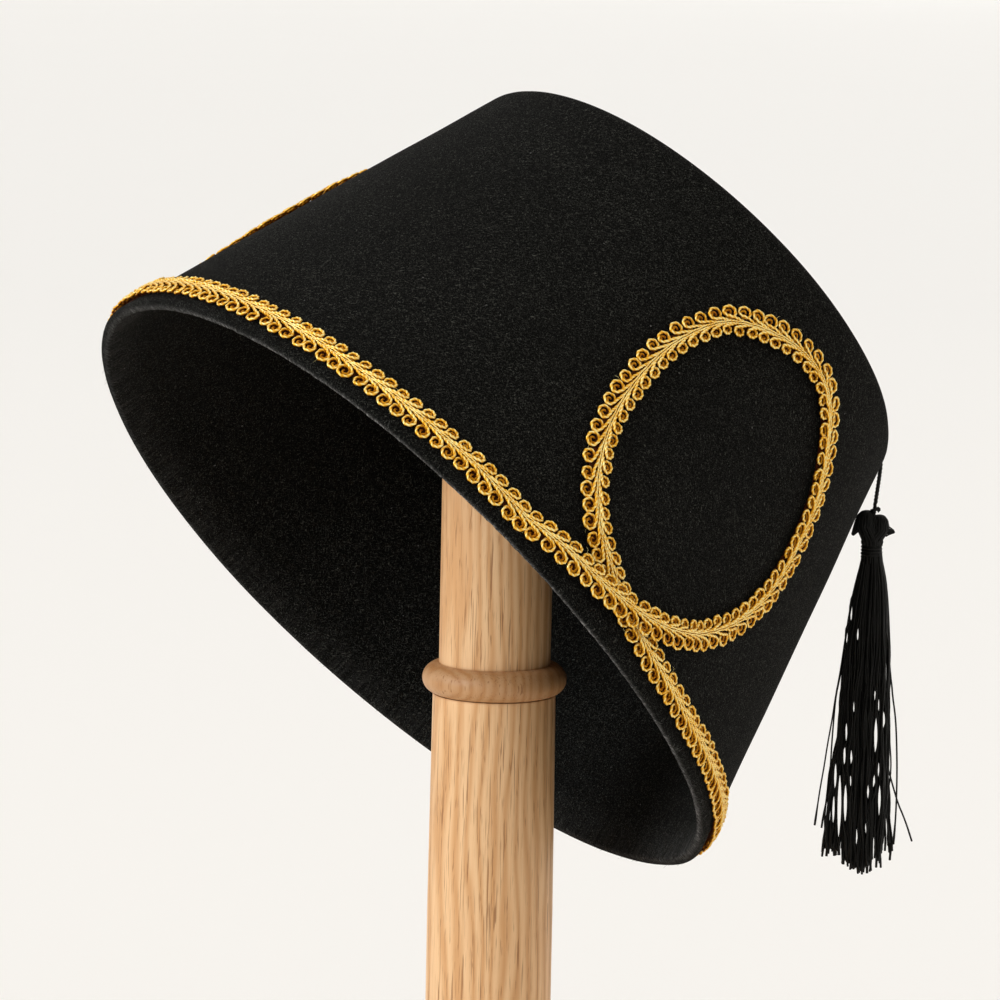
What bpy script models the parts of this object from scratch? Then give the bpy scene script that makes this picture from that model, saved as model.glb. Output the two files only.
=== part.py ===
"""A felt fez with a gold braid and a tassel, resting on the domed head of a turned wooden stand.

The origin is the middle of the stand's underside and +Z is up. The side of the fez that carries
the first braid loop faces -Y.
"""

import math

import bmesh
import bpy
from mathutils import Matrix, Vector

MM = 0.001
GAP = 0.3 * MM

# Felt cap, in its own frame: the rim lies at height 0 and the crown points up
RIM_RADIUS = 93.0 * MM
CROWN_RADIUS = 63.2 * MM
CAP_HEIGHT = 106.4 * MM
FELT = 2.6 * MM
CROWN_EDGE = 4.9 * MM
CAP_STEPS = 84
WALL_ROWS = 3
EDGE_ROWS = 4

# The rim is not quite flat: it leans a little and has two gentle waves
RIM_LEAN = 1.1 * MM
RIM_LEAN_SIDE = math.radians(-106)
RIM_WAVE = 1.1 * MM
RIM_WAVE_SIDE = math.radians(7)

# How the cap rests: its axis leans this far from upright, towards this side of the stand,
# and the head touches it on this side of its own axis
LEAN = math.radians(48.0)
LEAN_TOWARDS = math.radians(31.2)
SEAT_SIDE = math.radians(181.2)

# Gold braid
BRAID_WIDTH = 7.0 * MM
BRAID_THICK = 1.5 * MM
BRAID_SHOULDER = 0.8 * MM
BRAID_CREST = 1.3 * MM
BRAID_UP = 5.9 * MM
BRAID_GAP = 0.35 * MM
BRAID_LIFT = 2.05 * MM
BRAID_STEP = 4.1 * MM
RUN_STEP = math.radians(9)

# The three loops: where each stands round the cap in degrees, how tall it is beside the first,
# and how far its top leans back, in degrees of turn for each millimetre above its middle height
LOOP_PLACE_COLUMNS = ("side", "tallness", "lean")
LOOP_PLACES = (
    (-89.6, 1.0, 0.0),
    (21.0, 1.0, 0.0),
    (132.2, 0.90, 0.0),
)
LOOP_MIDDLE_HEIGHT = 50.0

# Middle line of one braid loop: degrees round the cap from the loop's middle, millimetres above
# the rim, and the share of the lift with which the braid crosses over itself
LOOP_COLUMNS = ("turn", "height", "lift")
LOOP_ROWS = (
    (-21.9, 5.8, 0.00),
    (-15.4, 6.4, 0.90),
    (-9.3, 7.1, 1.00),
    (-2.8, 9.0, 1.00),
    (3.1, 12.4, 1.00),
    (8.0, 17.2, 0.65),
    (11.7, 21.9, 0.00),
    (17.0, 31.7, 0.00),
    (20.8, 44.2, 0.00),
    (21.6, 57.5, 0.00),
    (20.0, 70.0, 0.00),
    (14.8, 80.9, 0.00),
    (8.7, 87.7, 0.00),
    (1.6, 89.5, 0.00),
    (-7.8, 87.0, 0.00),
    (-17.4, 79.3, 0.00),
    (-22.2, 66.8, 0.00),
    (-23.4, 53.0, 0.00),
    (-22.2, 39.0, 0.00),
    (-19.0, 27.6, 0.00),
    (-13.8, 18.1, 0.00),
    (-8.6, 12.9, 0.00),
    (-2.9, 9.3, 0.00),
    (3.3, 7.0, 0.00),
    (10.8, 6.1, 0.00),
    (18.0, 5.6, 0.00),
)

# Cord of the tassel: from the middle of the crown over its edge and down to the knot
CORD_DIAMETER = 1.1 * MM
CORD_STEP = 2.6 * MM
CORD_ROUTE_MM = (
    (44.7, 27.8, 263.2),
    (45.7, 28.4, 264.2),
    (47.3, 28.9, 264.6),
    (49.3, 28.9, 263.8),
    (50.7, 28.3, 261.4),
    (52.1, 27.3, 258.3),
    (54.8, 26.5, 255.1),
    (60.1, 25.7, 250.5),
    (67.6, 24.5, 244.1),
    (76.6, 23.1, 236.3),
    (84.2, 21.9, 229.8),
    (89.8, 21.0, 225.0),
    (91.3, 20.5, 223.1),
    (91.8, 19.9, 221.0),
    (91.6, 19.8, 217.8),
    (91.2, 19.8, 214.3),
    (90.8, 19.8, 210.9),
)

# Points read from a smooth route between each pair of its rows
FINE = 12

# Tassel: it hangs from the middle of its knot
KNOT = Vector((90.7, 19.8, 209.4)) * MM
KNOT_RADIUS = 1.2 * MM
TASSEL_SIDES = 10
LOCKS = 12
LOCK_SIDES = 6
SHORTEST_LOCK = 81.0 * MM
LONGEST_LOCK = 88.0 * MM
# A lock's thickness, as a share of the skirt's half width, at shares of the lock's length
LOCK_COLUMNS = ("share", "thickness")
LOCK_ROWS = (
    (0.16, 0.30),
    (0.26, 0.33),
    (0.45, 0.31),
    (0.70, 0.28),
    (0.93, 0.24),
    (1.00, 0.10),
)
# The locks' lengths follow a wave round the skirt: turn from lock to lock, and where it starts
LOCK_WAVE = 2.4
LOCK_WAVE_START = 0.8
# Half width of the solid core behind the locks, as a share of the skirt's
SKIRT_CORE = 0.8
# Outline of the skirt below the knot, in millimetres
SKIRT_COLUMNS = ("drop", "half_width")
SKIRT_ROWS = (
    (8.4, 2.2),
    (12.2, 2.3),
    (15.7, 3.4),
    (20.6, 4.1),
    (30.0, 5.0),
    (46.0, 5.85),
    (60.0, 6.3),
    (75.0, 6.8),
    (89.0, 7.3),
)
# Neck and binding below the knot, in millimetres
NECK_COLUMNS = ("drop", "radius")
NECK_ROWS = (
    (0.6, 0.9),
    (2.0, 1.5),
    (4.0, 2.9),
    (6.4, 2.7),
    (8.2, 2.1),
    (8.6, 2.5),
    (11.8, 2.5),
)
# Lobes of the gathered head: place from the knot and half sizes, in millimetres
LOBE_COLUMNS = ("x", "z", "half_width", "half_height")
LOBE_ROWS = (
    (-2.0, -3.4, 2.4, 3.0),
    (1.6, -4.0, 2.2, 2.7),
)
# Ears of the lobes: pointed tips of gathered thread, each from a root to a tip, in millimetres
EAR_COLUMNS = ("root_x", "root_z", "tip_x", "tip_z", "root_radius")
EAR_ROWS = (
    (-2.4, -4.4, -5.3, -6.5, 1.5),
    (2.0, -4.4, 4.6, -5.3, 1.5),
)
EAR_TIP = 0.3 * MM
EAR_SIDES = 7

# Wooden stand
HEAD_RADIUS = 40.0 * MM
HEAD_CENTRE = 257.0 * MM
HEAD_UNDER = 8.0 * MM
HEAD_ROUND = 4.0 * MM
POST_UPPER = 13.25 * MM
POST_LOWER = 14.6 * MM
POST_WAIST = 15.0 * MM
POST_FOOT = 19.0 * MM
RING_HEIGHT = 170.0 * MM
RING_RADIUS = 17.15 * MM
RING_HALF = 3.7 * MM
BASE_RADIUS = 75.0 * MM
BASE_THICK = 20.0 * MM
BASE_ROUND = 7.0 * MM
BASE_CHAMFER = 1.5 * MM
TENON_RADIUS = 8.0 * MM
TENON_LENGTH = 14.0 * MM
POST_WAIST_HEIGHT = 114.0 * MM
HEAD_STEPS = 44
POST_STEPS = 32
BASE_STEPS = 48
DOME_ROWS = 12
ROUND_ROWS = 4
RING_ROWS = 8

FELT_BLACK = (0.012, 0.011, 0.010)
BRAID_GOLD = (0.70, 0.40, 0.07)
TASSEL_BLACK = (0.008, 0.008, 0.008)
OAK = (0.58, 0.38, 0.20)


def slope():
    """Angle between the cap's wall and its axis."""
    return math.atan2(RIM_RADIUS - CROWN_RADIUS, CAP_HEIGHT)


def wall_radius(height):
    """Outer radius of the cap's wall at a height above the rim."""
    return RIM_RADIUS + (CROWN_RADIUS - RIM_RADIUS) * height / CAP_HEIGHT


def rim_rise(side):
    """How far the real rim lies above its plane on one side of the cap."""
    lean = RIM_LEAN * math.cos(side - RIM_LEAN_SIDE)
    return lean + RIM_WAVE * math.cos(2 * (side - RIM_WAVE_SIDE))


def arc(centre, radius, start, end, steps):
    """Points of an arc in the profile plane, angles in degrees from +X towards +Z."""
    angles = [math.radians(start + (end - start) * i / steps) for i in range(steps + 1)]
    return [(centre[0] + radius * math.cos(a), centre[1] + radius * math.sin(a)) for a in angles]


def smooth_point(rows, share):
    """Point on the smooth curve through rows of numbers, at a share counted in rows."""
    last = len(rows) - 1
    index = min(int(share), last - 1)
    t = share - index
    a, b, c, d = (rows[max(0, min(last, index + i))] for i in (-1, 0, 1, 2))
    out = []
    for p, q, r, s in zip(a, b, c, d):
        pull = (2 * p - 5 * q + 4 * r - s) * t * t
        out.append(0.5 * (2 * q + (r - p) * t + pull + (3 * q - p - 3 * r + s) * t ** 3))
    return out


def smooth_route(rows):
    """Many points on the smooth curve through rows of numbers."""
    return [smooth_point(rows, i / FINE) for i in range((len(rows) - 1) * FINE + 1)]


def even_points(points, step):
    """Points at even distances along a fine chain of points."""
    lengths = [0.0]
    for before, after in zip(points, points[1:]):
        lengths.append(lengths[-1] + (after[0] - before[0]).length)
    count = max(2, round(lengths[-1] / step))
    picked = []
    index = 0
    for i in range(count + 1):
        wanted = lengths[-1] * i / count
        while index < len(points) - 2 and lengths[index + 1] < wanted:
            index += 1
        share = (wanted - lengths[index]) / (lengths[index + 1] - lengths[index])
        pair = zip(points[index], points[index + 1])
        picked.append(tuple(a + (b - a) * share for a, b in pair))
    return picked


def clear_scene():
    for obj in list(bpy.data.objects):
        bpy.data.objects.remove(obj, do_unlink=True)


def new_collection(name):
    collection = bpy.data.collections.new(name)
    bpy.context.scene.collection.children.link(collection)
    return collection


def material(name, colour, roughness):
    made = bpy.data.materials.new(name)
    made.use_nodes = True
    shader = made.node_tree.nodes["Principled BSDF"]
    shader.inputs["Base Color"].default_value = (*colour, 1.0)
    shader.inputs["Roughness"].default_value = roughness
    shader.inputs["Metallic"].default_value = 0.0
    made.diffuse_color = (*colour, 1.0)
    return made


def add_object(name, data, collection, finish=None):
    obj = bpy.data.objects.new(name, data)
    collection.objects.link(obj)
    if finish:
        obj.data.materials.append(finish)
    return obj


def mesh_from_bmesh(name, bm, sharp=30):
    mesh = bpy.data.meshes.new(name)
    bmesh.ops.recalc_face_normals(bm, faces=bm.faces)
    bm.to_mesh(mesh)
    bm.free()
    mesh.shade_smooth()
    mesh.set_sharp_from_angle(angle=math.radians(sharp))
    return mesh


def turned(name, profile, collection, finish, steps):
    """A turned solid: the profile runs down its outer side, from the axis back to the axis."""
    mesh = bpy.data.meshes.new(name)
    points = [(x, 0.0, z) for x, z in profile]
    mesh.from_pydata(points, [(i, i + 1) for i in range(len(points) - 1)], [])
    obj = add_object(name, mesh, collection, finish)
    screw = obj.modifiers.new("Screw", "SCREW")
    screw.steps = steps
    screw.render_steps = steps
    screw.use_merge_vertices = True
    screw.merge_threshold = 0.00001
    screw.use_smooth_shade = True
    return obj


def cap_place():
    """Where the cap comes to rest: its wall and its top both touch the stand's head."""
    reach = FELT + GAP + HEAD_RADIUS
    seat_height = CAP_HEIGHT - reach
    seat_radius = wall_radius(seat_height) - reach / math.cos(slope())
    seat = Vector((math.cos(SEAT_SIDE), math.sin(SEAT_SIDE), 0.0)) * seat_radius
    seat.z = seat_height
    turn = Matrix.Rotation(LEAN_TOWARDS, 4, "Z") @ Matrix.Rotation(LEAN, 4, "Y")
    centre = Vector((0.0, 0.0, HEAD_CENTRE)) - turn.to_3x3() @ seat
    return Matrix.Translation(centre) @ turn


def cap_profile():
    """Section of the felt from the middle of the top, down outside, and back up inside."""
    angle = math.degrees(slope())
    flat = CROWN_RADIUS - CROWN_EDGE * math.tan(math.radians(90 - angle) / 2)
    middle = (flat, CAP_HEIGHT - CROWN_EDGE)
    outer_edge = arc(middle, CROWN_EDGE, 90, angle, EDGE_ROWS)
    inner_edge = arc(middle, CROWN_EDGE - FELT, angle, 90, EDGE_ROWS - 1)
    inner_rim = (RIM_RADIUS - FELT / math.cos(slope()), 0.0)
    outer_wall = [outer_edge[-1], (RIM_RADIUS, 0.0)]
    inner_wall = [inner_rim, inner_edge[0]]
    section = [(0.0, CAP_HEIGHT)] + outer_edge
    section += rows_between(*outer_wall, WALL_ROWS) + [outer_wall[1], inner_rim]
    section += rows_between(*inner_wall, WALL_ROWS) + inner_edge
    return section + [(0.0, CAP_HEIGHT - FELT)]


def rows_between(start, end, rows):
    """The points that divide a straight line into rows."""
    shares = [i / rows for i in range(1, rows)]
    return [tuple(a + (b - a) * share for a, b in zip(start, end)) for share in shares]


def make_cap(collection, finish):
    bm = bmesh.new()
    points = [bm.verts.new((x, 0.0, z)) for x, z in cap_profile()]
    edges = [bm.edges.new(pair) for pair in zip(points, points[1:])]
    bmesh.ops.spin(
        bm,
        geom=points + edges,
        cent=(0, 0, 0),
        axis=(0, 0, 1),
        angle=2 * math.pi,
        steps=CAP_STEPS,
        use_merge=True,
    )
    bmesh.ops.remove_doubles(bm, verts=bm.verts, dist=0.01 * MM)
    for vert in bm.verts:
        side = math.atan2(vert.co.y, vert.co.x)
        rise = rim_rise(side) * (1 - vert.co.z / CAP_HEIGHT)
        radius = vert.co.xy.length
        if radius > CROWN_RADIUS:
            vert.co.xy *= (radius - rise * math.tan(slope())) / radius
            vert.co.z += rise
    obj = add_object("felt_cap", mesh_from_bmesh("felt_cap", bm), collection, finish)
    obj.matrix_world = cap_place()
    return obj


def loop_route(side, tallness, lean):
    """Rows of angle, height and lift through one braid loop, in radians and metres."""
    rows = []
    for turn, height, lift in LOOP_ROWS:
        angle = side + turn - lean * (height - LOOP_MIDDLE_HEIGHT)
        raised = BRAID_UP + (height * MM - BRAID_UP) * tallness
        rows.append((math.radians(angle), raised, lift))
    return rows


def braid_route():
    """The braid's whole closed route: each loop, and the plain run along the rim to the next."""
    loops = [loop_route(*place) for place in LOOP_PLACES]
    starts = [loop[0][0] for loop in loops]
    route = []
    for loop, end in zip(loops, starts[1:] + [starts[0] + 2 * math.pi]):
        start = loop[-1][0]
        count = round((end - start) / RUN_STEP)
        runs = [start + (end - start) * i / count for i in range(1, count)]
        route += loop + [(a, BRAID_UP + rim_rise(a), 0.0) for a in runs]
    first = route[0]
    return route + [(first[0] + 2 * math.pi, first[1], first[2])]


def on_wall(angle, height, lift):
    """Place in the cap's frame, and the wall's outward direction there."""
    out = Vector((math.cos(angle), math.sin(angle), 0.0))
    place = out * wall_radius(height) + Vector((0.0, 0.0, height))
    normal = out * math.cos(slope()) + Vector((0.0, 0.0, math.sin(slope())))
    return place + normal * (BRAID_GAP + BRAID_LIFT * lift), normal


def braid_section():
    """Across and out coordinates of the braid's section."""
    half = BRAID_WIDTH / 2
    right = [(half, 0.0), (half, BRAID_SHOULDER), (BRAID_CREST, BRAID_THICK)]
    return right + [(-across, out) for across, out in reversed(right)]


def make_braid(collection, finish):
    chain = []
    for angle, height, lift in smooth_route(braid_route()):
        chain.append(on_wall(angle, height, max(0.0, min(1.0, lift))))
    middles = even_points(chain, BRAID_STEP)[:-1]
    bm = bmesh.new()
    rings = []
    for i, (place, normal) in enumerate(middles):
        ahead = middles[(i + 1) % len(middles)][0] - middles[i - 1][0]
        across = ahead.cross(normal).normalized()
        normal = across.cross(ahead).normalized()
        ring = [bm.verts.new(place + across * a + normal * o) for a, o in braid_section()]
        rings.append(ring)
    for ring, following in zip(rings, rings[1:] + rings[:1]):
        for i in range(len(ring)):
            k = (i + 1) % len(ring)
            bm.faces.new((ring[i], ring[k], following[k], following[i]))
    obj = add_object("gold_braid", mesh_from_bmesh("gold_braid", bm), collection, finish)
    obj.matrix_world = cap_place()
    return obj


def make_cord(collection, finish):
    chain = [(Vector(point) * MM,) for point in smooth_route(CORD_ROUTE_MM)]
    places = [row[0] for row in even_points(chain, CORD_STEP)]
    curve = bpy.data.curves.new("tassel_cord", "CURVE")
    curve.dimensions = "3D"
    curve.bevel_depth = CORD_DIAMETER / 2
    curve.bevel_resolution = 2
    curve.use_fill_caps = True
    spline = curve.splines.new("POLY")
    spline.points.add(len(places) - 1)
    for point, place in zip(spline.points, places):
        point.co = (*place, 1.0)
    return add_object("tassel_cord", curve, collection, finish)


def skirt_half_width(drop):
    """Half width of the skirt at a drop below the knot."""
    rows = [[value * MM for value in row] for row in SKIRT_ROWS]
    index = next(i for i in range(1, len(rows)) if drop <= rows[i][0] or i == len(rows) - 1)
    low, high = rows[index - 1], rows[index]
    return low[1] + (high[1] - low[1]) * (drop - low[0]) / (high[0] - low[0])


def loft(bm, rings):
    """Skins a chain of rings of points and closes both ends."""
    made = [[bm.verts.new(place) for place in ring] for ring in rings]
    for ring, following in zip(made, made[1:]):
        for i in range(len(ring)):
            k = (i + 1) % len(ring)
            bm.faces.new((ring[i], ring[k], following[k], following[i]))
    bm.faces.new(list(reversed(made[0])))
    bm.faces.new(made[-1])


def ring_round(centre, radius, sides, turn=0.0):
    angles = [turn + 2 * math.pi * i / sides for i in range(sides)]
    return [centre + radius * Vector((math.cos(a), math.sin(a), 0.0)) for a in angles]


def make_tassel_body(collection, finish):
    """Neck, binding and the inside of the skirt, to which the lobes and locks are joined."""
    rows = list(NECK_ROWS)
    rows += [(drop, half * SKIRT_CORE) for drop, half in SKIRT_ROWS[1:-1]]
    rings = [ring_round(Vector((0, 0, -drop)) * MM, radius * MM, TASSEL_SIDES) for drop, radius in rows]
    bm = bmesh.new()
    loft(bm, rings)
    return add_object("tassel", mesh_from_bmesh("tassel", bm, sharp=60), collection, finish)


def make_lock(index, collection):
    """One hanging lock of the skirt, from inside the neck to its own blunt tip."""
    side = 2 * math.pi * (index + 0.5) / LOCKS
    spread = 0.5 + 0.5 * math.sin(LOCK_WAVE * index + LOCK_WAVE_START)
    length = SHORTEST_LOCK + (LONGEST_LOCK - SHORTEST_LOCK) * spread
    out = Vector((math.cos(side), math.sin(side), 0.0))
    rings = []
    for share, thickness in LOCK_ROWS:
        half = skirt_half_width(length * share)
        centre = out * half * (1 - thickness) - Vector((0.0, 0.0, length * share))
        rings.append(ring_round(centre, half * thickness, LOCK_SIDES, side))
    bm = bmesh.new()
    loft(bm, rings)
    return add_object("lock_" + str(index), mesh_from_bmesh("lock", bm), collection)


def make_lobe(x, z, half_width, half_height, collection):
    bm = bmesh.new()
    bmesh.ops.create_icosphere(bm, subdivisions=2, radius=1.0)
    bmesh.ops.scale(bm, vec=Vector((half_width, half_width, half_height)) * MM, verts=bm.verts)
    bmesh.ops.translate(bm, vec=Vector((x, 0.0, z)) * MM, verts=bm.verts)
    return add_object("lobe", mesh_from_bmesh("lobe", bm), collection)


def make_ear(root_x, root_z, tip_x, tip_z, root_radius, collection):
    root = Vector((root_x, 0.0, root_z)) * MM
    along = Vector((tip_x, 0.0, tip_z)) * MM - root
    bm = bmesh.new()
    place = Matrix.Translation(root + along / 2) @ along.to_track_quat("Z", "Y").to_matrix().to_4x4()
    bmesh.ops.create_cone(
        bm,
        cap_ends=True,
        segments=EAR_SIDES,
        radius1=root_radius * MM,
        radius2=EAR_TIP,
        depth=along.length,
        matrix=place,
    )
    return add_object("ear", mesh_from_bmesh("ear", bm), collection)


def make_tassel(collection, helpers, finish):
    body = make_tassel_body(collection, finish)
    body.location = KNOT
    pieces = [make_lock(index, helpers) for index in range(LOCKS)]
    pieces += [make_lobe(*row, helpers) for row in LOBE_ROWS]
    pieces += [make_ear(*row, helpers) for row in EAR_ROWS]
    knot = bmesh.new()
    bmesh.ops.create_icosphere(knot, subdivisions=2, radius=KNOT_RADIUS)
    pieces.append(add_object("knot", mesh_from_bmesh("knot", knot), helpers))
    for piece in pieces:
        piece.location = KNOT
        piece.hide_render = True
        piece.display_type = "WIRE"
        join = body.modifiers.new("Join " + piece.name, "BOOLEAN")
        join.operation = "UNION"
        join.object = piece
    return body


def make_head(collection, finish):
    """Domed head with a socket in its underside, about its dome's centre."""
    dome = arc((0.0, 0.0), HEAD_RADIUS, 90, 0, DOME_ROWS)
    edge = arc((HEAD_RADIUS - HEAD_ROUND, HEAD_ROUND - HEAD_UNDER), HEAD_ROUND, 0, -90, ROUND_ROWS)
    bore = TENON_RADIUS + GAP
    depth = TENON_LENGTH + 2 * GAP - HEAD_UNDER
    socket = [(bore, -HEAD_UNDER), (bore, depth), (0.0, depth)]
    profile = [(0.0, HEAD_RADIUS)] + dome[1:] + edge + socket
    obj = turned("stand_head", profile, collection, finish, HEAD_STEPS)
    obj.location.z = HEAD_CENTRE
    return obj


def make_post(collection, finish):
    """Post with its ring bead and a tenon at each end."""
    top = HEAD_CENTRE - HEAD_UNDER - GAP
    bottom = BASE_THICK + GAP
    thick = RING_RADIUS - POST_UPPER
    flare = POST_FOOT - POST_WAIST
    bead = arc((0.0, 0.0), 1.0, 90, -90, RING_ROWS)[1:-1]
    hollow = arc((0.0, 0.0), 1.0, 0, -90, ROUND_ROWS)
    profile = [(0.0, top + TENON_LENGTH), (TENON_RADIUS, top + TENON_LENGTH), (TENON_RADIUS, top)]
    profile += [(POST_UPPER, top), (POST_UPPER, RING_HEIGHT + RING_HALF)]
    profile += [(POST_UPPER + thick * x, RING_HEIGHT + RING_HALF * z) for x, z in bead]
    profile += [(POST_LOWER, RING_HEIGHT - RING_HALF), (POST_WAIST, POST_WAIST_HEIGHT)]
    profile += [(POST_FOOT - flare * x, bottom + flare * 2 * (1 + z)) for x, z in hollow]
    profile += [(TENON_RADIUS, bottom), (TENON_RADIUS, bottom - TENON_LENGTH)]
    profile += [(0.0, bottom - TENON_LENGTH)]
    return turned("stand_post", profile, collection, finish, POST_STEPS)


def make_base(collection, finish):
    """Round foot with a rounded upper edge and a socket for the post."""
    bore = TENON_RADIUS + GAP
    floor = BASE_THICK - TENON_LENGTH - GAP
    edge = arc((BASE_RADIUS - BASE_ROUND, BASE_THICK - BASE_ROUND), BASE_ROUND, 90, 0, ROUND_ROWS)
    profile = [(0.0, floor), (bore, floor), (bore, BASE_THICK)] + edge
    profile += [(BASE_RADIUS, BASE_CHAMFER), (BASE_RADIUS - BASE_CHAMFER, 0.0), (0.0, 0.0)]
    return turned("stand_base", profile, collection, finish, BASE_STEPS)


def main():
    clear_scene()
    parts = new_collection("Fez on stand")
    helpers = new_collection("Shapes joined into the tassel")
    felt = material("Black felt", FELT_BLACK, 0.95)
    gold = material("Gold braid", BRAID_GOLD, 0.45)
    black = material("Black tassel thread", TASSEL_BLACK, 0.35)
    wood = material("Pale oak", OAK, 0.5)
    make_cap(parts, felt)
    make_braid(parts, gold)
    make_cord(parts, black)
    make_tassel(parts, helpers, black)
    make_head(parts, wood)
    make_post(parts, wood)
    make_base(parts, wood)


main()
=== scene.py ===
"""Dresses the fez on its turned stand: felt and its fuzz, looped gold braid, tassel, and oak.

It is laid out as an add-on and is run as a script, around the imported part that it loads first.
Each operator makes one piece or group of pieces, all in metres in the part's own frame, and the
panel in the 3D view's sidebar lists them.
"""

import math

import bpy
import numpy as np
from bpy.props import FloatProperty, FloatVectorProperty, IntProperty, PointerProperty
from bpy.types import Operator, Panel, PropertyGroup
from mathutils import Matrix, Vector, noise


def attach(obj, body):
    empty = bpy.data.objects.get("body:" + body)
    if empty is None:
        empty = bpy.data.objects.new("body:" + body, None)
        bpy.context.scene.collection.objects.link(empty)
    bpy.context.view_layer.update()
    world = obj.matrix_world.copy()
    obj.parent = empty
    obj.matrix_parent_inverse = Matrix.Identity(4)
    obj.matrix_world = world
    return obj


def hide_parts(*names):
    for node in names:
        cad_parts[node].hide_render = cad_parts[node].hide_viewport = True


bl_info = {
    "name": "Fez on a turned stand",
    "version": (1, 0, 0),
    "blender": (4, 5, 0),
    "location": "3D View > Sidebar > Fez",
    "description": "Makes a felt fez with gold braid and a tassel, resting on a wooden stand",
    "category": "Object",
}

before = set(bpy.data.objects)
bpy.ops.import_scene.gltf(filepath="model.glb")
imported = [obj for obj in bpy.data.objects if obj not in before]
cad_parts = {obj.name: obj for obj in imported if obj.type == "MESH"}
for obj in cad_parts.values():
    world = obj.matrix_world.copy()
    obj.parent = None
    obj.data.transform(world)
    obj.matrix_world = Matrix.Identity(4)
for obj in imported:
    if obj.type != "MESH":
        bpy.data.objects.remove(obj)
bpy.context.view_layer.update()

MM = 0.001
FULL_TURN = 2 * math.pi
UP = np.array((0.0, 0.0, 1.0))
YARN_SIDES = 6
# Steps of a smooth route from one of its rows to the next: as a rule, in the head, in the skirt
FINE = 12
HEAD_FINE = 6
SKIRT_FINE = 8

# Felt cap, in its own frame: the rim lies at height 0 and the crown points up
RIM_RADIUS = 93.0 * MM
CROWN_RADIUS = 63.2 * MM
CAP_HEIGHT = 106.4 * MM
FELT = 2.6 * MM
CROWN_EDGE = 4.9 * MM
CAP_STEPS = 600
TOP_ROWS = 9
EDGE_ROWS = 7
WALL_ROWS = 26
INSIDE_ROWS = 12
CUT_ROWS = 7
CUT_ROUNDING = 0.4 * MM
CUT_ROUGHNESS = 0.20 * MM
CUT_ROUGHNESS_SIZE = 1.3 * MM
# Seed of the cut's roughness, whose noise would start from the clock without one
CUT_SEED = 17
# The greyest part of the cut edge, from 0 at its outer corner to 1 at its inner one
CUT_MIDDLE = 0.7
CUT_SPREAD = 0.3
# Painted light on the cut edge: its paler fibres are laid on most at one side of the cap, where the cut
# catches the light, and least at the other
LIT_CUT_SIDE = math.radians(-115)
LIT_CUT_REACH = 0.78
LIT_CUT_LEAST = 0.1
WALL_UNEVEN = 0.22 * MM
WALL_UNEVEN_SIZE = 19.0 * MM
# Loose fibres: how many times as many stand on the cut edge, and on the inside, as on the outside
FUZZ_SEED = 11
FUZZ_ON_CUT = 6.0
FUZZ_INSIDE = 0.12
FUZZ_SINK = 0.03 * MM
FUZZ_RISE = (0.12, 0.75)
FUZZ_LENGTHS = (0.5, 1.0)
FUZZ_WIDTHS = (0.7, 1.1)
FUZZ_BEND = 0.12
FUZZ_THICK = 1.5
FUZZ_PALE = 0.12
LINT_WIDER = 1.6
LINT_PALE = 0.8

# Stretches of the felt's fibre pattern, one for each of the three ways the fibres lie
FIBRE_WAYS = ((1.0, 1.0, 0.30), (0.30, 1.0, 1.0), (1.0, 0.30, 1.0))

# The rim is not quite flat: it leans a little and has two gentle waves
RIM_LEAN = 1.1 * MM
RIM_LEAN_SIDE = math.radians(-106)
RIM_WAVE = 1.1 * MM
RIM_WAVE_SIDE = math.radians(7)

# How the cap rests on the stand's head
LEAN = math.radians(48.0)
LEAN_TOWARDS = math.radians(31.2)
SEAT_SIDE = math.radians(181.2)
GAP = 0.3 * MM

# Braid: how it runs, and the three loops it makes on its way round the cap
BRAID_UP = 5.9 * MM
BRAID_GAP = 0.35 * MM
BRAID_LIFT = 2.05 * MM
BRAID_GRID = 0.25 * MM
RUN_STEP = math.radians(9)
# Each loop's side in degrees, and how tall it is
LOOP_PLACES = ((-89.6, 1.0), (21.0, 1.0), (132.2, 0.90))
# Route of one loop: turn in degrees, height in millimetres, and share of the full lift
LOOP_ROWS = (
    (-21.9, 5.8, 0.00), (-15.4, 6.4, 0.90), (-9.3, 7.1, 1.00), (-2.8, 9.0, 1.00), (3.1, 12.4, 1.00),
    (8.0, 17.2, 0.65), (11.7, 21.9, 0.00), (17.0, 31.7, 0.00), (20.8, 44.2, 0.00),
    (21.6, 57.5, 0.00), (20.0, 70.0, 0.00), (14.8, 80.9, 0.00), (8.7, 87.7, 0.00),
    (1.6, 89.5, 0.00), (-7.8, 87.0, 0.00), (-17.4, 79.3, 0.00), (-22.2, 66.8, 0.00),
    (-23.4, 53.0, 0.00), (-22.2, 39.0, 0.00), (-19.0, 27.6, 0.00), (-13.8, 18.1, 0.00),
    (-8.6, 12.9, 0.00), (-2.9, 9.3, 0.00), (3.3, 7.0, 0.00), (10.8, 6.1, 0.00), (18.0, 5.6, 0.00),
)

# One picot of the braid: yarn from under the spine, forward beside it, round the ring and coiled
# inside it. Millimetres along the braid from the ring's middle, across from the spine, and up.
PICOT_ROWS = (
    (-4.2, 0.16, 0.75), (-3.1, 0.30, 1.12), (-2.0, 0.50, 1.36), (-0.9, 0.80, 1.48),
    (0.25, 1.08, 1.46), (1.10, 1.48, 1.30), (1.30, 2.20, 1.14), (0.74, 2.90, 1.04),
    (-0.08, 3.12, 1.00), (-0.88, 2.76, 0.97), (-1.24, 2.02, 0.94), (-1.00, 1.22, 0.86),
    (-0.15, 0.90, 0.74), (0.56, 1.32, 0.68), (0.62, 2.02, 0.64), (0.10, 2.48, 0.62),
    (-0.48, 2.10, 0.58), (-0.30, 1.66, 0.50),
)
RING_MIDDLE = 1.90 * MM
RING_WIDTH = 3.0 * MM
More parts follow.
